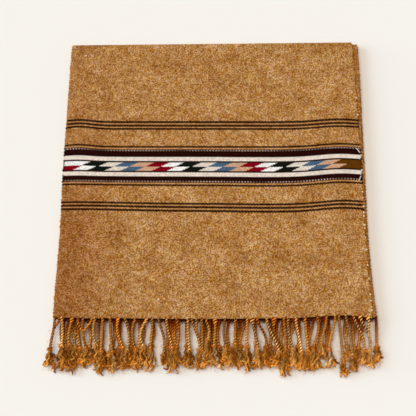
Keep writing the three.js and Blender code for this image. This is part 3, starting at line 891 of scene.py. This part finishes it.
# %% [markdown]
# ## Fringe yarn
# The warp ends of the scarf are spun harder than its weft: golden brown, twisted in two plies, and
# left in their own grease, so they look a little glossier than the cloth. Each strand carries its
# own colour as an attribute. Fine streaks along the strand are its fibres.

# %% The fringe wool
FIBRE_SLANT = 0.5  # radians, by which the fibres lie across the strand


def fringe_wool():
    """Yarn in the colour that its strand carries, streaked by its fibres."""
    material, tree = new_material("twisted wool yarn")
    strand = add_node(tree, "UVMap", uv_map="cloth")
    strand_mm = scaled(tree, strand.outputs[0], 1 / MM)
    slant = {"Rotation": (0, 0, FIBRE_SLANT), "Scale": (1.6, 0.5, 1.0)}
    slanted = add_node(tree, "Mapping", {"Vector": strand_mm, **slant})
    streaks = {"Vector": slanted.outputs[0], "Scale": 1.3, "Detail": 3.0}
    fibres = add_node(tree, "TexNoise", streaks).outputs["Fac"]
    tone = ranged(tree, fibres, (0.3, 0.7), (0.72, 1.3))
    colour = add_node(tree, "Attribute", attribute_name="yarn_colour").outputs["Color"]
    bump = add_node(tree, "Bump", {"Height": fibres, "Strength": 0.6, "Distance": 0.3 * MM})
    finish = {
        "Base Color": scaled(tree, colour, tone),
        "Roughness": 0.75,
        "Specular IOR Level": 0.03,
        "Sheen Weight": 0.01,
        "Sheen Roughness": 0.5,
        "Sheen Tint": linear("f0d0a0"),
        "Normal": bump.outputs[0],
    }
    shader = add_node(tree, "BsdfPrincipled", finish)
    add_node(tree, "OutputMaterial", {"Surface": shader.outputs[0]})
    print("Fringe wool has", len(tree.nodes), "nodes")
    return material


fringe_yarn = fringe_wool()
selvedges = turns.piece("selvedge_turns", fringe_yarn)

# %% [markdown]
# ## The fringes
# A tassel is a bundle of warp ends. Two plies leave the hem side by side, meet and twist into a
# cord, are tied in an overhand knot, and end in a loose tuft. Neighbours lean together in clumps
# and leave gaps through which the card shows. No rule gives such a lie, so each tassel is laid one
# by one: a row of the tables says where it leaves the hem, where its knot lies and where its tuft
# ends.

# %% How the tassels lie
# root x, knot x, knot below y = 0, tip x, tip below y = 0, then how far the cord bulges to the
# right of its smoothest way, all in mm. The tassels under them lie straighter, and chance gives
# them a small bulge. Their rows aren't in the order of x.
FRONT_TASSELS = [
    (-190.6, -195.2, 36.3, -195.6, 62.1, 0), (-182, -181.6, 32.8, -180, 64.4, 0.5),
    (-169.4, -172.3, 31.6, -167.3, 67.9, -1.6), (-156.3, -152, 37.5, -156.4, 57.4, -2.6),
    (-142.1, -140.2, 31.6, -140.8, 58.6, -2.4), (-132.6, -133.9, 39.9, -134.5, 66.8, 0.4),
    (-123.6, -120.5, 39.9, -119.5, 65.6, 0), (-113.9, -107.7, 35.1, -107.2, 64.4, -2.4),
    (-105.4, -102.8, 37.5, -101.9, 59.7, 3.5), (-93.6, -92, 37.5, -94, 63.3, -4.3),
    (-79.7, -82.7, 34, -85.7, 60.9, -6), (-72.8, -75.2, 37.5, -74.9, 63.3, 0.3),
    (-65.2, -59.6, 43.4, -58.3, 56.2, 4.4), (-55.4, -48.9, 35.1, -47.4, 65.6, 0.5),
    (-43, -43.5, 35.1, -42.7, 58.6, 2), (-29.8, -28, 37.5, -31.4, 59.7, -0.6),
    (-25, -15.7, 37.5, -19.4, 62.1, 1.5), (-13.1, -12.8, 39.9, -11.6, 59.7, 0),
    (-8, -6.3, 25.7, -6.2, 55.1, 3.5), (3, 1.6, 32.8, 5.7, 63.3, 0),
    (14.9, 16, 34, 15.9, 58.6, -2.2), (27.3, 26.8, 31.6, 30.2, 63.3, 0),
    (41.8, 41.2, 34, 39.7, 65.6, 0), (47.5, 54.3, 36.3, 54.7, 59.7, 0.8),
    (53.5, 64, 34, 62.5, 62.1, 3.6), (65.5, 79.5, 39.9, 75.6, 60.9, 0),
    (74.4, 85.4, 43.4, 84.4, 70.2, -3), (86.1, 87.3, 37.5, 88.8, 59.7, 0),
    (91, 96.3, 37.5, 96, 58.6, -1), (100.6, 106.4, 39.9, 104, 63.3, 0),
    (111.5, 114.2, 39.9, 109.6, 65.6, 0), (126.5, 120.4, 35.1, 121.5, 64.4, 3.5),
    (137.3, 130.1, 31.6, 131.7, 45.7, 0.5), (148, 139.6, 37.5, 143.2, 60.9, -1),
    (152.6, 155.8, 50.4, 158.9, 70.2, 0), (161, 166.8, 44.6, 167.5, 64.4, 2),
    (170.4, 181.2, 38.7, 181.5, 57.4, 3.4), (177.9, 187.6, 38.7, 189.5, 60.9, 5),
]
UNDER_TASSELS = [
    (-181.4, -181.5, 32.6, -183.2, 56.2), (-178.9, -176.9, 35, -173.5, 58.5),
    (-169.2, -166.1, 33.8, -162.8, 56.2), (-163.1, -160, 36.1, -160.3, 59.7),
    (-151, -149.2, 33.8, -149.6, 58.5), (-136.5, -135.9, 36.1, -135.6, 60.9),
    (-134.4, -134.8, 33.8, -131.3, 59.7), (-120.7, -121.5, 32.6, -122, 57.4),
    (-112.2, -112.9, 36.1, -113.5, 60.9), (-99.8, -98.2, 33.8, -99, 57.4),
    (-89.2, -90, 36.1, -89.5, 60.9), (-84.4, -86.5, 32.6, -82.2, 55),
    (-73.5, -74.4, 32.6, -76.4, 56.2), (-56.5, -55.1, 35, -53.6, 58.5),
    (-50.5, -50.3, 32.6, -50, 56.2), (-45.6, -45.4, 37.3, -46.4, 59.7),
    (-31.2, -30.8, 32.6, -30.4, 56.2), (20.4, 20.8, 36.1, 20.2, 58.5),
    (-11.7, -12.9, 32.6, -15.3, 55), (-8.1, -8.1, 36.1, -8, 58.5),
    (0.4, -0.8, 35, -0.9, 58.5), (8.9, 7.6, 33.8, 8.7, 57.4),
    (26.4, 29.9, 32.6, 27.7, 57.4), (34.3, 32.9, 33.8, 33.9, 58.5),
    (52.4, 53.2, 33.8, 51.5, 58.5), (169.4, 170.6, 36.1, 170, 57.4),
    (65.8, 69.1, 33.8, 68.7, 58.5), (77.9, 76.3, 36.1, 78.3, 59.7),
    (85.2, 82.4, 32.6, 81.9, 57.4), (94.9, 92, 36.1, 92.7, 59.7),
    (103.4, 102.9, 33.8, 101.9, 58.5), (116.7, 116.1, 36.1, 116.7, 58.5),
    (130, 127, 33.8, 125.1, 57.4), (139.7, 136.6, 35, 138.3, 58.5),
    (161.5, 162, 33.8, 163.5, 57.4), (176, 175.2, 36.1, 173, 59.7),
    (197.8, 198.2, 33.8, 200.7, 57.4),
]
print("Tassels in front and under:", len(FRONT_TASSELS), len(UNDER_TASSELS))

# %% How a cord comes down from its hem
SEAM, STRIP_DEEP = 0.3, 2.0  # mm: the gap to the cloth, and the strip that holds the tassels
SETTLE_AT = [0, 0.13, 0.4, 0.7, 0.92, 1.0, 1.04]  # shares of the cord's length
SETTLE_BY = [0, 0.06, 0.36, 0.78, 0.94, 0.97, 1.0]  # shares of its drop to where it lies
FRONT_REST_Z, UNDER_REST_Z = 6.6, 2.35  # mm, where the cords of each row lie


def smoothstep(t):
    """0 up to t = 0, 1 from t = 1 on, and smooth between them."""
    t = np.clip(t, 0, 1)
    return t * t * (3 - 2 * t)


print("Cords come to lie", FRONT_REST_Z, "and", UNDER_REST_Z, "mm above the table")

# %% One row of tassels, placed
CORD_TONES = np.array([linear(c) for c in ("de8830", "ec9c46", "c67020", "e29034", "f0ac5c")])


class TasselRow:
    """Where a row of tassels lies, the tone of each, and the basket for its yarn."""

    def __init__(self, table, layer, rest_z, seed):
        self.rng = np.random.default_rng(seed)
        self.count = len(table)
        columns = np.array(table, float).T[..., None]
        self.root_x, self.knot_x, self.knot_down, self.tip_x, self.tip_down = columns[:5]
        bulge = columns[5] if len(columns) > 5 else self.rng.normal(0, 1.3, (self.count, 1))
        self.bulge = bulge + self.rng.normal(0, 0.4, (self.count, 1))
        self.layer_z, _, self.bowing, self.hem_start = LAYERS[layer]
        self.half, self.shift = section("half", self.hem_start), section(layer, self.hem_start)
        self.rest_z = rest_z
        self.root_y = self.hem_line(self.root_x) - SEAM - STRIP_DEEP / 2
        self.length = self.root_y + self.knot_down
        self.ride_up = self.rng.uniform(-0.4, 0.9, (self.count, 1))
        picked = CORD_TONES[self.rng.integers(0, len(CORD_TONES), self.count)]
        self.tones = picked * self.rng.uniform(0.8, 1.1, (self.count, 1))
        self.basket = YarnBasket()

    def hem_line(self, x):
        return self.hem_start + self.bowing * hem_bow(x)

    def centre(self, share):
        """Points of the cords' centre lines at shares of their length (tassel, point, xyz)."""
        within = np.clip(share, 0, 1)
        x = self.root_x + (self.knot_x - self.root_x) * smoothstep(share / 1.05)
        x = x + self.bulge * np.sin(np.pi * within)
        y = self.root_y - share * self.length
        drop = np.interp(share, SETTLE_AT, SETTLE_BY)
        z = self.layer_z + (self.rest_z - self.layer_z) * drop
        z = z + self.ride_up * np.sin(np.pi * within / 2)
        return np.stack([x, y, z], axis=2)


front_row = TasselRow(FRONT_TASSELS, "front", FRONT_REST_Z, 21)
under_row = TasselRow(UNDER_TASSELS, "under", UNDER_REST_Z, 22)
print("Cords in mm:", front_row.length.min().round(1), "to", front_row.length.max().round(1))

# %% [markdown]
# ## Twisting the cords
# Twist is a helix: each ply circles the cord's centre line, and its partner stays opposite. The
# plies leave the cloth a little apart, on top of its last picks, and close to a tight rope within
# a few millimetres. A ply is painted brightest where it passes over its partner and darkest below
# it, and the cords are painted darker towards the hem that overhangs them: painted highlight and
# painted shade.

# %% Twist a batch of cords
PLY_RADIUS, CORD_OFFSET, TWIST = 0.92, 1.05, 6.6  # mm; TWIST is the length of a full turn
PLIES_APART = 2.2  # mm that two plies are at most further from the centre line at the hem
HEM_LIFT, TABLE_GAP = 0.9, 0.1  # mm: roots over the last picks, and yarn over the table
PLY_CONTRAST = 0.12  # one ply is that much brighter than the middle tone, the other duller
CORD_POINTS, CORD_RING = 64, 6
ROOT_SHARE = 0.07  # of the cord's length lies on top of the hem
CREST_DARK, CREST_BRIGHT = 0.25, 1.3  # painted shade where a ply passes below its partner, and painted highlight on top of it


def rest_on_table(path, radius):
    """Lifts yarn to the table where it would sink in."""
    path[..., 2] = np.maximum(path[..., 2], radius + TABLE_GAP)


def twist_cords(row, line, t, length, tones, root_shade):
    """Two plies round each centre line. t runs from the hem, 0, to where the cord ends, 1."""
    rng, shape = row.rng, (len(line), 1)
    line[..., 2] += HEM_LIFT * (1 - smoothstep((t + 0.02) / 0.08))
    apart = CORD_OFFSET + PLIES_APART * rng.random(shape) ** 8
    joined = rng.uniform(0.12, 0.26, shape)
    offset = CORD_OFFSET + (apart - CORD_OFFSET) * (1 - smoothstep(t / joined))
    angle = 2 * np.pi * t * length / TWIST + rng.uniform(0, 6.28, shape)
    lean = np.stack([np.cos(angle), np.zeros_like(angle), 0.95 * np.sin(angle)], axis=2)
    radius = np.where(t < -ROOT_SHARE * 0.9, 0.6, 1.0) * PLY_RADIUS * rng.uniform(0.85, 1.12, shape)
    for way in (1, -1):
        shade = tones * (1.0 + PLY_CONTRAST * way) * rng.uniform(0.92, 1.08, shape)
        path = line + way * offset[..., None] * lean
        rest_on_table(path, radius)
        row.basket.add(path, radius, CORD_RING, shade, core=line)
    # Painted shade and highlight: roots darker under the overhanging hem, each ply lighter on top of its
    # partner and darker below it.
    fade = root_shade + (1 - root_shade) * smoothstep(t / 0.8)
    for way, colours in zip((1, -1), row.basket.colours[-2:]):
        crest = CREST_DARK + CREST_BRIGHT * ((1 + way * np.sin(angle)) / 2) ** 1.5
        colours *= np.repeat((fade * crest).reshape(-1), CORD_RING)[:, None] ** SHADE_TINT


print("A full twist takes", TWIST, "mm")

# %% Twist the cord of every tassel
FRONT_ROOT_SHADE, UNDER_ROOT_SHADE = 0.7, 0.13  # share of their brightness that roots keep, as painted shade under the hem


def cord_shares(row):
    """Shares of a cord's length at its points, from on top of the hem to its knot."""
    return np.linspace(-ROOT_SHARE, 1.0, CORD_POINTS)[None, :] * np.ones((row.count, 1))


def twist_tassels(row, root_shade):
    """The two plies of each tassel's own cord."""
    t = cord_shares(row)
    twist_cords(row, row.centre(t), t, row.length, row.tones, root_shade)


twist_tassels(front_row, FRONT_ROOT_SHADE)
twist_tassels(under_row, UNDER_ROOT_SHADE)
print("Tassels twisted:", front_row.count + under_row.count)

# %% Second cords
BRANCH_UNDER = 1.2  # mm that a second cord comes to lie under the first


def twist_branches(row, branches, root_shade):
    """A tassel is often tied from two cords: these leave the hem elsewhere and join one."""
    number, root_x, share = np.array(branches, float).T
    number = number.astype(int)
    along = np.ones((row.count, 1))
    along[number, 0] = share
    t = cord_shares(row)
    line = row.centre(t * along)[number]
    t = t[number]
    line[..., 0] += (root_x[:, None] - row.root_x[number]) * (1 - smoothstep(t))
    line[..., 2] -= BRANCH_UNDER * smoothstep(t)
    twist_cords(row, line, t, row.length[number] * share[:, None], row.tones[number], root_shade)


# the tassel that the cord joins, counted from 0, its root's x in mm, and where it joins
FRONT_BRANCHES = [(0, -184.6, 0.35), (3, -162.4, 0.5), (16, -19.7, 0.45), (37, 187.0, 0.6)]
THIRD_CORD = [(3, -145.5, 0.5)]  # one tassel is tied from three
# tassels of the under row: those whose second cord comes from the left, and those without one
FROM_LEFT, WITHOUT = (3, 8, 11, 15, 21, 27, 30, 33), (0, 5, 6, 12, 16, 17, 24, 36)
TO_LEFT, TO_RIGHT = -6.0, 5.5  # mm from the root of the tassel to that of its second cord
UNDER_BRANCHES = [
    (i, float(under_row.root_x[i, 0]) + (TO_LEFT if i in FROM_LEFT else TO_RIGHT), 0.96)
    for i in range(under_row.count)
    if i not in WITHOUT
]
twist_branches(front_row, FRONT_BRANCHES, FRONT_ROOT_SHADE)
twist_branches(front_row, THIRD_CORD, FRONT_ROOT_SHADE)
twist_branches(under_row, UNDER_BRANCHES, UNDER_ROOT_SHADE)
print("Second cords:", len(FRONT_BRANCHES) + len(THIRD_CORD) + len(UNDER_BRANCHES))

# %% [markdown]
# ## Knots
# An overhand knot is a trefoil that is drawn tight. Its formula has a wave or two for each axis,
# and each knot is turned its own way. The closed loop hides the ends of the cord inside it.

# %% Knots
KNOT_SHADE = np.array([0.5, 0.46, 0.4, 1.0])  # painted shade: the yarn of a knot is darker than that of its cord
KNOT_POINTS, KNOT_YARN = 30, 1.2  # KNOT_YARN is the radius in mm of the cord, squeezed in the knot
KNOT_CORE_LOW = 0.6  # mm: the core of the painted shade lies that much below the middle, so the top is painted lighter


def tie_knots(row):
    """A tight trefoil to each tassel, where its cord ends."""
    rng = row.rng
    w = np.linspace(0, 2 * np.pi, KNOT_POINTS)[None, :]
    size = rng.uniform(0.85, 1.1, (row.count, 1, 1))
    trefoil = [np.sin(w) + 2 * np.sin(2 * w), np.cos(w) - 2 * np.cos(2 * w), -0.9 * np.sin(3 * w)]
    loop = np.stack(trefoil, axis=2) * size
    spin = rng.uniform(0, 2 * np.pi, row.count)
    cos, sin = np.cos(spin)[:, None], np.sin(spin)[:, None]
    turned_x = loop[..., 0] * cos - loop[..., 1] * sin
    turned_y = 0.9 * (loop[..., 0] * sin + loop[..., 1] * cos)
    knot_at = row.centre(np.ones((row.count, 1)))
    path = knot_at + np.stack([turned_x, turned_y, loop[..., 2]], axis=2)
    rest_on_table(path, KNOT_YARN)
    # Painted shade gathers round this core, below the knot's middle.
    middle_of_knot = np.broadcast_to(knot_at - [0, 0, KNOT_CORE_LOW], path.shape)
    radius = np.full((row.count, KNOT_POINTS), KNOT_YARN)
    row.basket.add(path, radius, CORD_RING, row.tones * KNOT_SHADE, core=middle_of_knot)


tie_knots(front_row)
tie_knots(under_row)
print("Knots tied:", front_row.count + under_row.count)

# %% [markdown]
# ## Tufts
# Below its knot the cord is left loose. Each lock of it keeps the crimp of the twist, fans away
# from its neighbours and curls at its end. A lock's path is walked step by step from its heading,
# as one would draw a curl: the heading fans out, waves with the crimp, and winds up towards the
# tip. Two plies are then twisted round that path.

# %% The path of a lock
TUFT_POINTS = 18
LOCK_SPREAD = 0.5  # radians by which the outer locks leave the knot
LOCK_LOW = 1.9  # mm above the table, lower than which no lock's middle comes


def lock_path(row, side, length, curl):
    """The path of one lock of each tuft, from its headings."""
    rng, shape = row.rng, (row.count, 1)
    s = np.linspace(0, 1, TUFT_POINTS)[None, :]
    aim = np.arctan2(row.tip_x - row.knot_x, row.tip_down - row.knot_down)
    waves, phase = rng.uniform(1.8, 3.2, shape), rng.uniform(0, 6.28, shape)
    crimp = rng.uniform(0.5, 1.15, shape) * np.sin(2 * np.pi * waves * s + phase)
    fan = (side * LOCK_SPREAD + rng.normal(0, 0.14, shape)) * np.exp(-3 * s)
    heading = aim + fan + crimp * smoothstep(s * 4) + curl * s**3
    step = length / (TUFT_POINTS - 1)
    knot_at = row.centre(np.ones(shape))
    x = row.knot_x + (np.cumsum(np.sin(heading), axis=1) - np.sin(heading)) * step
    y = knot_at[..., 1] - (np.cumsum(np.cos(heading), axis=1) - np.cos(heading)) * step
    height = knot_at[..., 2]
    lift = rng.uniform(-1.2, 1.8, shape) * np.sin(np.pi * s) + 0.5 * np.cos(2 * np.pi * waves * s)
    z = height + lift - (height - LOCK_LOW) * 0.55 * s**1.6
    return s, np.stack([x, y, z], axis=2)


print("Points along a lock:", TUFT_POINTS)

# %% Twist a lock of each tuft
LOCK_TURN = 4.6  # mm of a lock's own twist
LOCK_YARN, LOCK_RING = 0.88, 5  # mm, the radius of its plies, and their corners
TIP_GLOW = 0.15  # painted light: the ends are that much paler


def add_lock(row, side, length, curl, shade):
    """Two plies round the path of one lock of each tuft."""
    rng, shape = row.rng, (row.count, 1)
    s, line = lock_path(row, side, length, curl)
    coil = 2 * np.pi * s * length / LOCK_TURN + rng.uniform(0, 6.28, shape)
    radius = (LOCK_YARN - 0.08 * s**2) * rng.uniform(0.85, 1.15, shape) * np.where(s >= 1, 0.65, 1.0)
    line[..., 2] = np.maximum(line[..., 2], LOCK_LOW)
    for way in (1, -1):
        part = (0.7 + 0.25 * s) * way
        around = np.stack([part * np.cos(coil), 0 * coil, 0.9 * part * np.sin(coil)], axis=2)
        path = line + around
        rest_on_table(path, radius)
        below = line.copy()  # the core of painted shade sinks towards the tip, so the ends are painted lighter
        below[..., 2] -= 0.3 + 1.0 * s**3
        row.basket.add(path, radius, LOCK_RING, shade, core=below)
        # Painted light: the ends of each lock are made paler.
        tip_painted_light = np.repeat(np.broadcast_to(1 + TIP_GLOW * s, radius.shape).reshape(-1), LOCK_RING)
        row.basket.colours[-1] *= tip_painted_light[:, None]


print("Locks turn once in", LOCK_TURN, "mm")

# %% Comb out the tufts
LOCKS = 11  # to each tuft
WHITE_LOCKS = 0.016  # share of the locks that are off-white
TUFT_TONES = ("e09436", "eaa44a", "bc6e20", "f2b86c", "e29636", "ac621a")
TUFT_TONES = np.array([linear(c) for c in TUFT_TONES])
OFF_WHITE = np.array(linear("dcc8a8"))


def comb_tufts(row, fullness):
    """fullness is how long the tufts are, against their places in the table."""
    rng, shape = row.rng, (row.count, 1)
    for lock in range(LOCKS):
        side = 2 * lock / (LOCKS - 1) - 1
        length = (row.tip_down - row.knot_down) * fullness * rng.uniform(0.86, 1.14, shape)
        curl = rng.normal(0, 1.4, shape)
        shade = TUFT_TONES[rng.integers(0, len(TUFT_TONES), row.count)]
        shade = shade * rng.uniform(0.5, 1.05, shape)
        shade = np.where(rng.random(shape) < WHITE_LOCKS, OFF_WHITE, shade)
        add_lock(row, side, length, curl, shade)


tufts = {}
for name, row, fullness in (("front_tufts", front_row, 1.0), ("under_tufts", under_row, 0.84)):
    cords, row.basket = row.basket, YarnBasket()
    comb_tufts(row, fullness)
    tufts[name] = row.basket.piece(name, fringe_yarn)
    row.basket = cords
print("Locks:", LOCKS * (front_row.count + under_row.count))

# %% [markdown]
# ## The twined edge
# Below the last pick two yarns are twined round each other and the warp ends, which stops the
# weft from sliding off. Their near-black brown is painted shade, as the hem above them casts it,
# and the cords come out over them.

# %% Twining along each hem, and the fringes as pieces
TWINE_POINTS, TWINE_RADIUS, TWINE_TURN = 420, 0.75, 5.2  # the last two in mm
TWINE_INSET = 1.4  # mm from each selvedge
# Painted shade: the twine is near black, for the shadow under the overhanging hem.
TWINE_SHADE_TONE = np.array([linear("1e0c02")])


def twine_hem(row):
    """Two yarns twined round each other below the last pick."""
    reach = row.half - TWINE_INSET
    x = np.linspace(row.shift - reach, row.shift + reach, TWINE_POINTS)
    turn = 2 * np.pi * x / TWINE_TURN
    for way in (0, np.pi):
        y = row.hem_line(x) - SEAM - 0.55 + 0.3 * np.cos(turn + way)
        z = row.layer_z - 0.75 + 0.4 * np.sin(turn + way)
        path = np.stack([x, y, z], axis=1)
        row.basket.add(path[None], np.full((1, TWINE_POINTS), TWINE_RADIUS), 5, TWINE_SHADE_TONE)


twine_hem(front_row)
twine_hem(under_row)
front_tassels = front_row.basket.piece("front_tassels", fringe_yarn)
under_tassels = under_row.basket.piece("under_tassels", fringe_yarn)

# %% [markdown]
# ## Loose fibres
# Wool is never smooth: short fibres stand out of every tuft, and those that the cords shed lie
# under them as lint. Their bright warm tone is painted light, the warm light that bounces between
# the cords, and together they blur the gaps between the tassels with it. A particle system could
# grow them. Here each fibre is a three-sided tube through three points, which costs fourteen
# triangles. Under the hem hangs a dense fuzz of short ends of yarn between the cords, its dark
# brown painted shade of the hem.

# %% Loose fibres
CORD_FIBRES, TUFT_FIBRES = 84, 56  # to each tassel
CORD_REACH, TUFT_REACH = 4.6, 5.4  # mm, the longest fibres
# Painted light: the lint is paler and warmer than the yarn, for the warm light that bounces between the
# cords.
HAZE_BOUNCE_LIGHT_TONES = np.array([linear(c) for c in ("ffb266", "faa65a", "ffbc74")])
FIBRE_RADIUS = 0.13  # mm: real wool is a fifth of that, which would be too fine to show


def fibres_from(row, start, reach):
    """Fibres that leave the points start (fibre, xyz) sideways and bend."""
    rng, count = row.rng, len(start)
    turn = rng.uniform(0, 2 * np.pi, (count, 1))
    bend = rng.normal(0, 0.9, (count, 1))
    s = np.linspace(0, 1, 3)[None, :]
    heading = turn + bend * s
    step = rng.uniform(0.4, 1.0, (count, 1)) * reach / 2
    x = start[:, 0, None] + (np.cumsum(np.cos(heading), axis=1) - np.cos(heading)) * step
    y = start[:, 1, None] + (np.cumsum(np.sin(heading), axis=1) - np.sin(heading)) * step
    z = start[:, 2, None] + rng.normal(0, 0.8, (count, 1)) * s
    return np.stack([x, y, np.maximum(z, 0.3)], axis=2)


def loose_fibres(row, basket):
    """Lint under the cords, and fibres that stand out of the tufts."""
    rng = row.rng
    on_cord = row.centre(rng.random((row.count, CORD_FIBRES)))
    on_cord[..., 0] += rng.normal(0, 2.2, on_cord.shape[:2])
    on_cord[..., 2] *= rng.uniform(0.1, 0.75, on_cord.shape[:2])
    on_cord = on_cord.reshape(-1, 3)
    share = rng.random((row.count, TUFT_FIBRES))
    knot_at = row.centre(np.ones((row.count, 1)))
    spread = rng.normal(0, 2.4, share.shape)
    x = row.knot_x + (row.tip_x - row.knot_x) * share + spread
    y = knot_at[..., 1] - (row.tip_down - row.knot_down) * share
    z = knot_at[..., 2] * (1 - 0.5 * share) + rng.uniform(-1, 1, share.shape)
    on_tuft = np.stack([x, y, z], axis=2).reshape(-1, 3)
    for start, reach in ((on_cord, CORD_REACH), (on_tuft, TUFT_REACH)):
        paths = fibres_from(row, start, reach)
        tones = HAZE_BOUNCE_LIGHT_TONES[rng.integers(0, len(HAZE_BOUNCE_LIGHT_TONES), len(start))]
        basket.add(paths, np.full(paths.shape[:2], FIBRE_RADIUS), 3, tones)


print("Loose fibres:", (CORD_FIBRES + TUFT_FIBRES) * (front_row.count + under_row.count))

# %% Fuzz under the hems, and the fibres as pieces
HEM_FIBRES = 3200  # along each hem
# Painted shade: the fuzz is dark brown where the hem shades the table.
HEM_FUZZ_SHADE_TONE = np.array([linear("6c3608")])
FUZZ_RADIUS = 1.7 * FIBRE_RADIUS  # short ends of yarn are thicker than fibres


def hem_fuzz(row, basket):
    """Short ends that hang from under the hem, most of them no longer than 4 mm, painted dark brown as
    the hem's shade.
    """
    rng, shape = row.rng, (HEM_FIBRES, 1)
    x = rng.uniform(row.shift - row.half + 2, row.shift + row.half - 2, shape)
    hang = 1.2 + 5.0 * rng.random(shape) ** 2.5
    side = rng.normal(0, 0.5, shape)
    s = np.linspace(0, 1, 3)[None, :]
    y = row.hem_line(x) + 0.5 - hang * s
    z = row.layer_z - 1.4 - 0.45 * hang * s
    paths = np.stack([x + side * hang * s * s, y, np.maximum(z, 0.4)], axis=2)
    tones = np.repeat(HEM_FUZZ_SHADE_TONE, HEM_FIBRES, axis=0)
    basket.add(paths, np.full(paths.shape[:2], FUZZ_RADIUS), 3, tones)


fibres = {}
for name, row in (("front_fibres", front_row), ("under_fibres", under_row)):
    basket = YarnBasket()
    loose_fibres(row, basket)
    hem_fuzz(row, basket)
    fibres[name] = basket.piece(name, fringe_yarn)

# %% [markdown]
# ## Stray floats
# Where the weaver changed colours at an edge, a thread skips over a few picks instead of going
# back in. A dark one runs up the left selvedge, and two cream ones cross the dark stripes at the
# right selvedge.

# %% Floats at the selvedges
FLOATS = [  # side, cloth v and inset where it starts, then where it ends, and its yarn
    (0, 184.0, 0.4, 198.0, 0.6, "black"),
    (-1, 168.5, 4.8, 175.5, 1.4, "cream"),
    (-1, 205.5, 0.8, 211.5, 4.6, "cream"),
]
FLOAT_RADIUS = 0.55


def float_path(column, v0, inset0, v1, inset1):
    """A thread over the picks from v0 to v1 mm along the cloth."""
    t = np.linspace(0, 1, 10)
    inward = 1.0 if column == 0 else -1.0
    on_front = cloth_v[:front_count, column], walked[:front_count, column]
    rim, normal = along_edge(column, np.interp(v0 + (v1 - v0) * t, *on_front))
    inset = (inset0 + (inset1 - inset0) * t)[:, None] * np.array([inward, 0, 0])
    lift = (CLOTH / 2 + 0.25) * np.where((t == 0) | (t == 1), 0.6, 1.0)
    return rim + inset + normal * lift[:, None]


floats = YarnBasket()
for column, v0, inset0, v1, inset1, yarn in FLOATS:
    path = float_path(column, v0, inset0, v1, inset1)
    floats.add(path[None], np.full((1, len(path)), FLOAT_RADIUS), 6, [linear(YARN[yarn])])
edge_floats = floats.piece("edge_floats", fringe_yarn)

# %% [markdown]
# ## Attaching the pieces
# Each piece rides on the part's one body, and the CAD nodes that it stands for are hidden.

# %% Attach each piece and hide the nodes that it stands for
pieces = {
    scarf: (("front_panel", "back_panel", "hidden_layers"), "woven_wool"),
    selvedges: ((), "fringe_wool"),
    edge_floats: ((), "woven_wool"),
    front_tassels: (("front_fringe",), "fringe_wool"),
    under_tassels: (("under_fringe",), "fringe_wool"),
    tufts["front_tufts"]: ((), "fringe_wool"),
    tufts["under_tufts"]: ((), "fringe_wool"),
    fibres["front_fibres"]: ((), "fringe_wool"),
    fibres["under_fibres"]: ((), "fringe_wool"),
}
for piece, (nodes, finish) in pieces.items():
    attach(piece, "root")
    if nodes:
        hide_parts(*nodes)
print("Pieces:", [piece.name for piece in pieces])
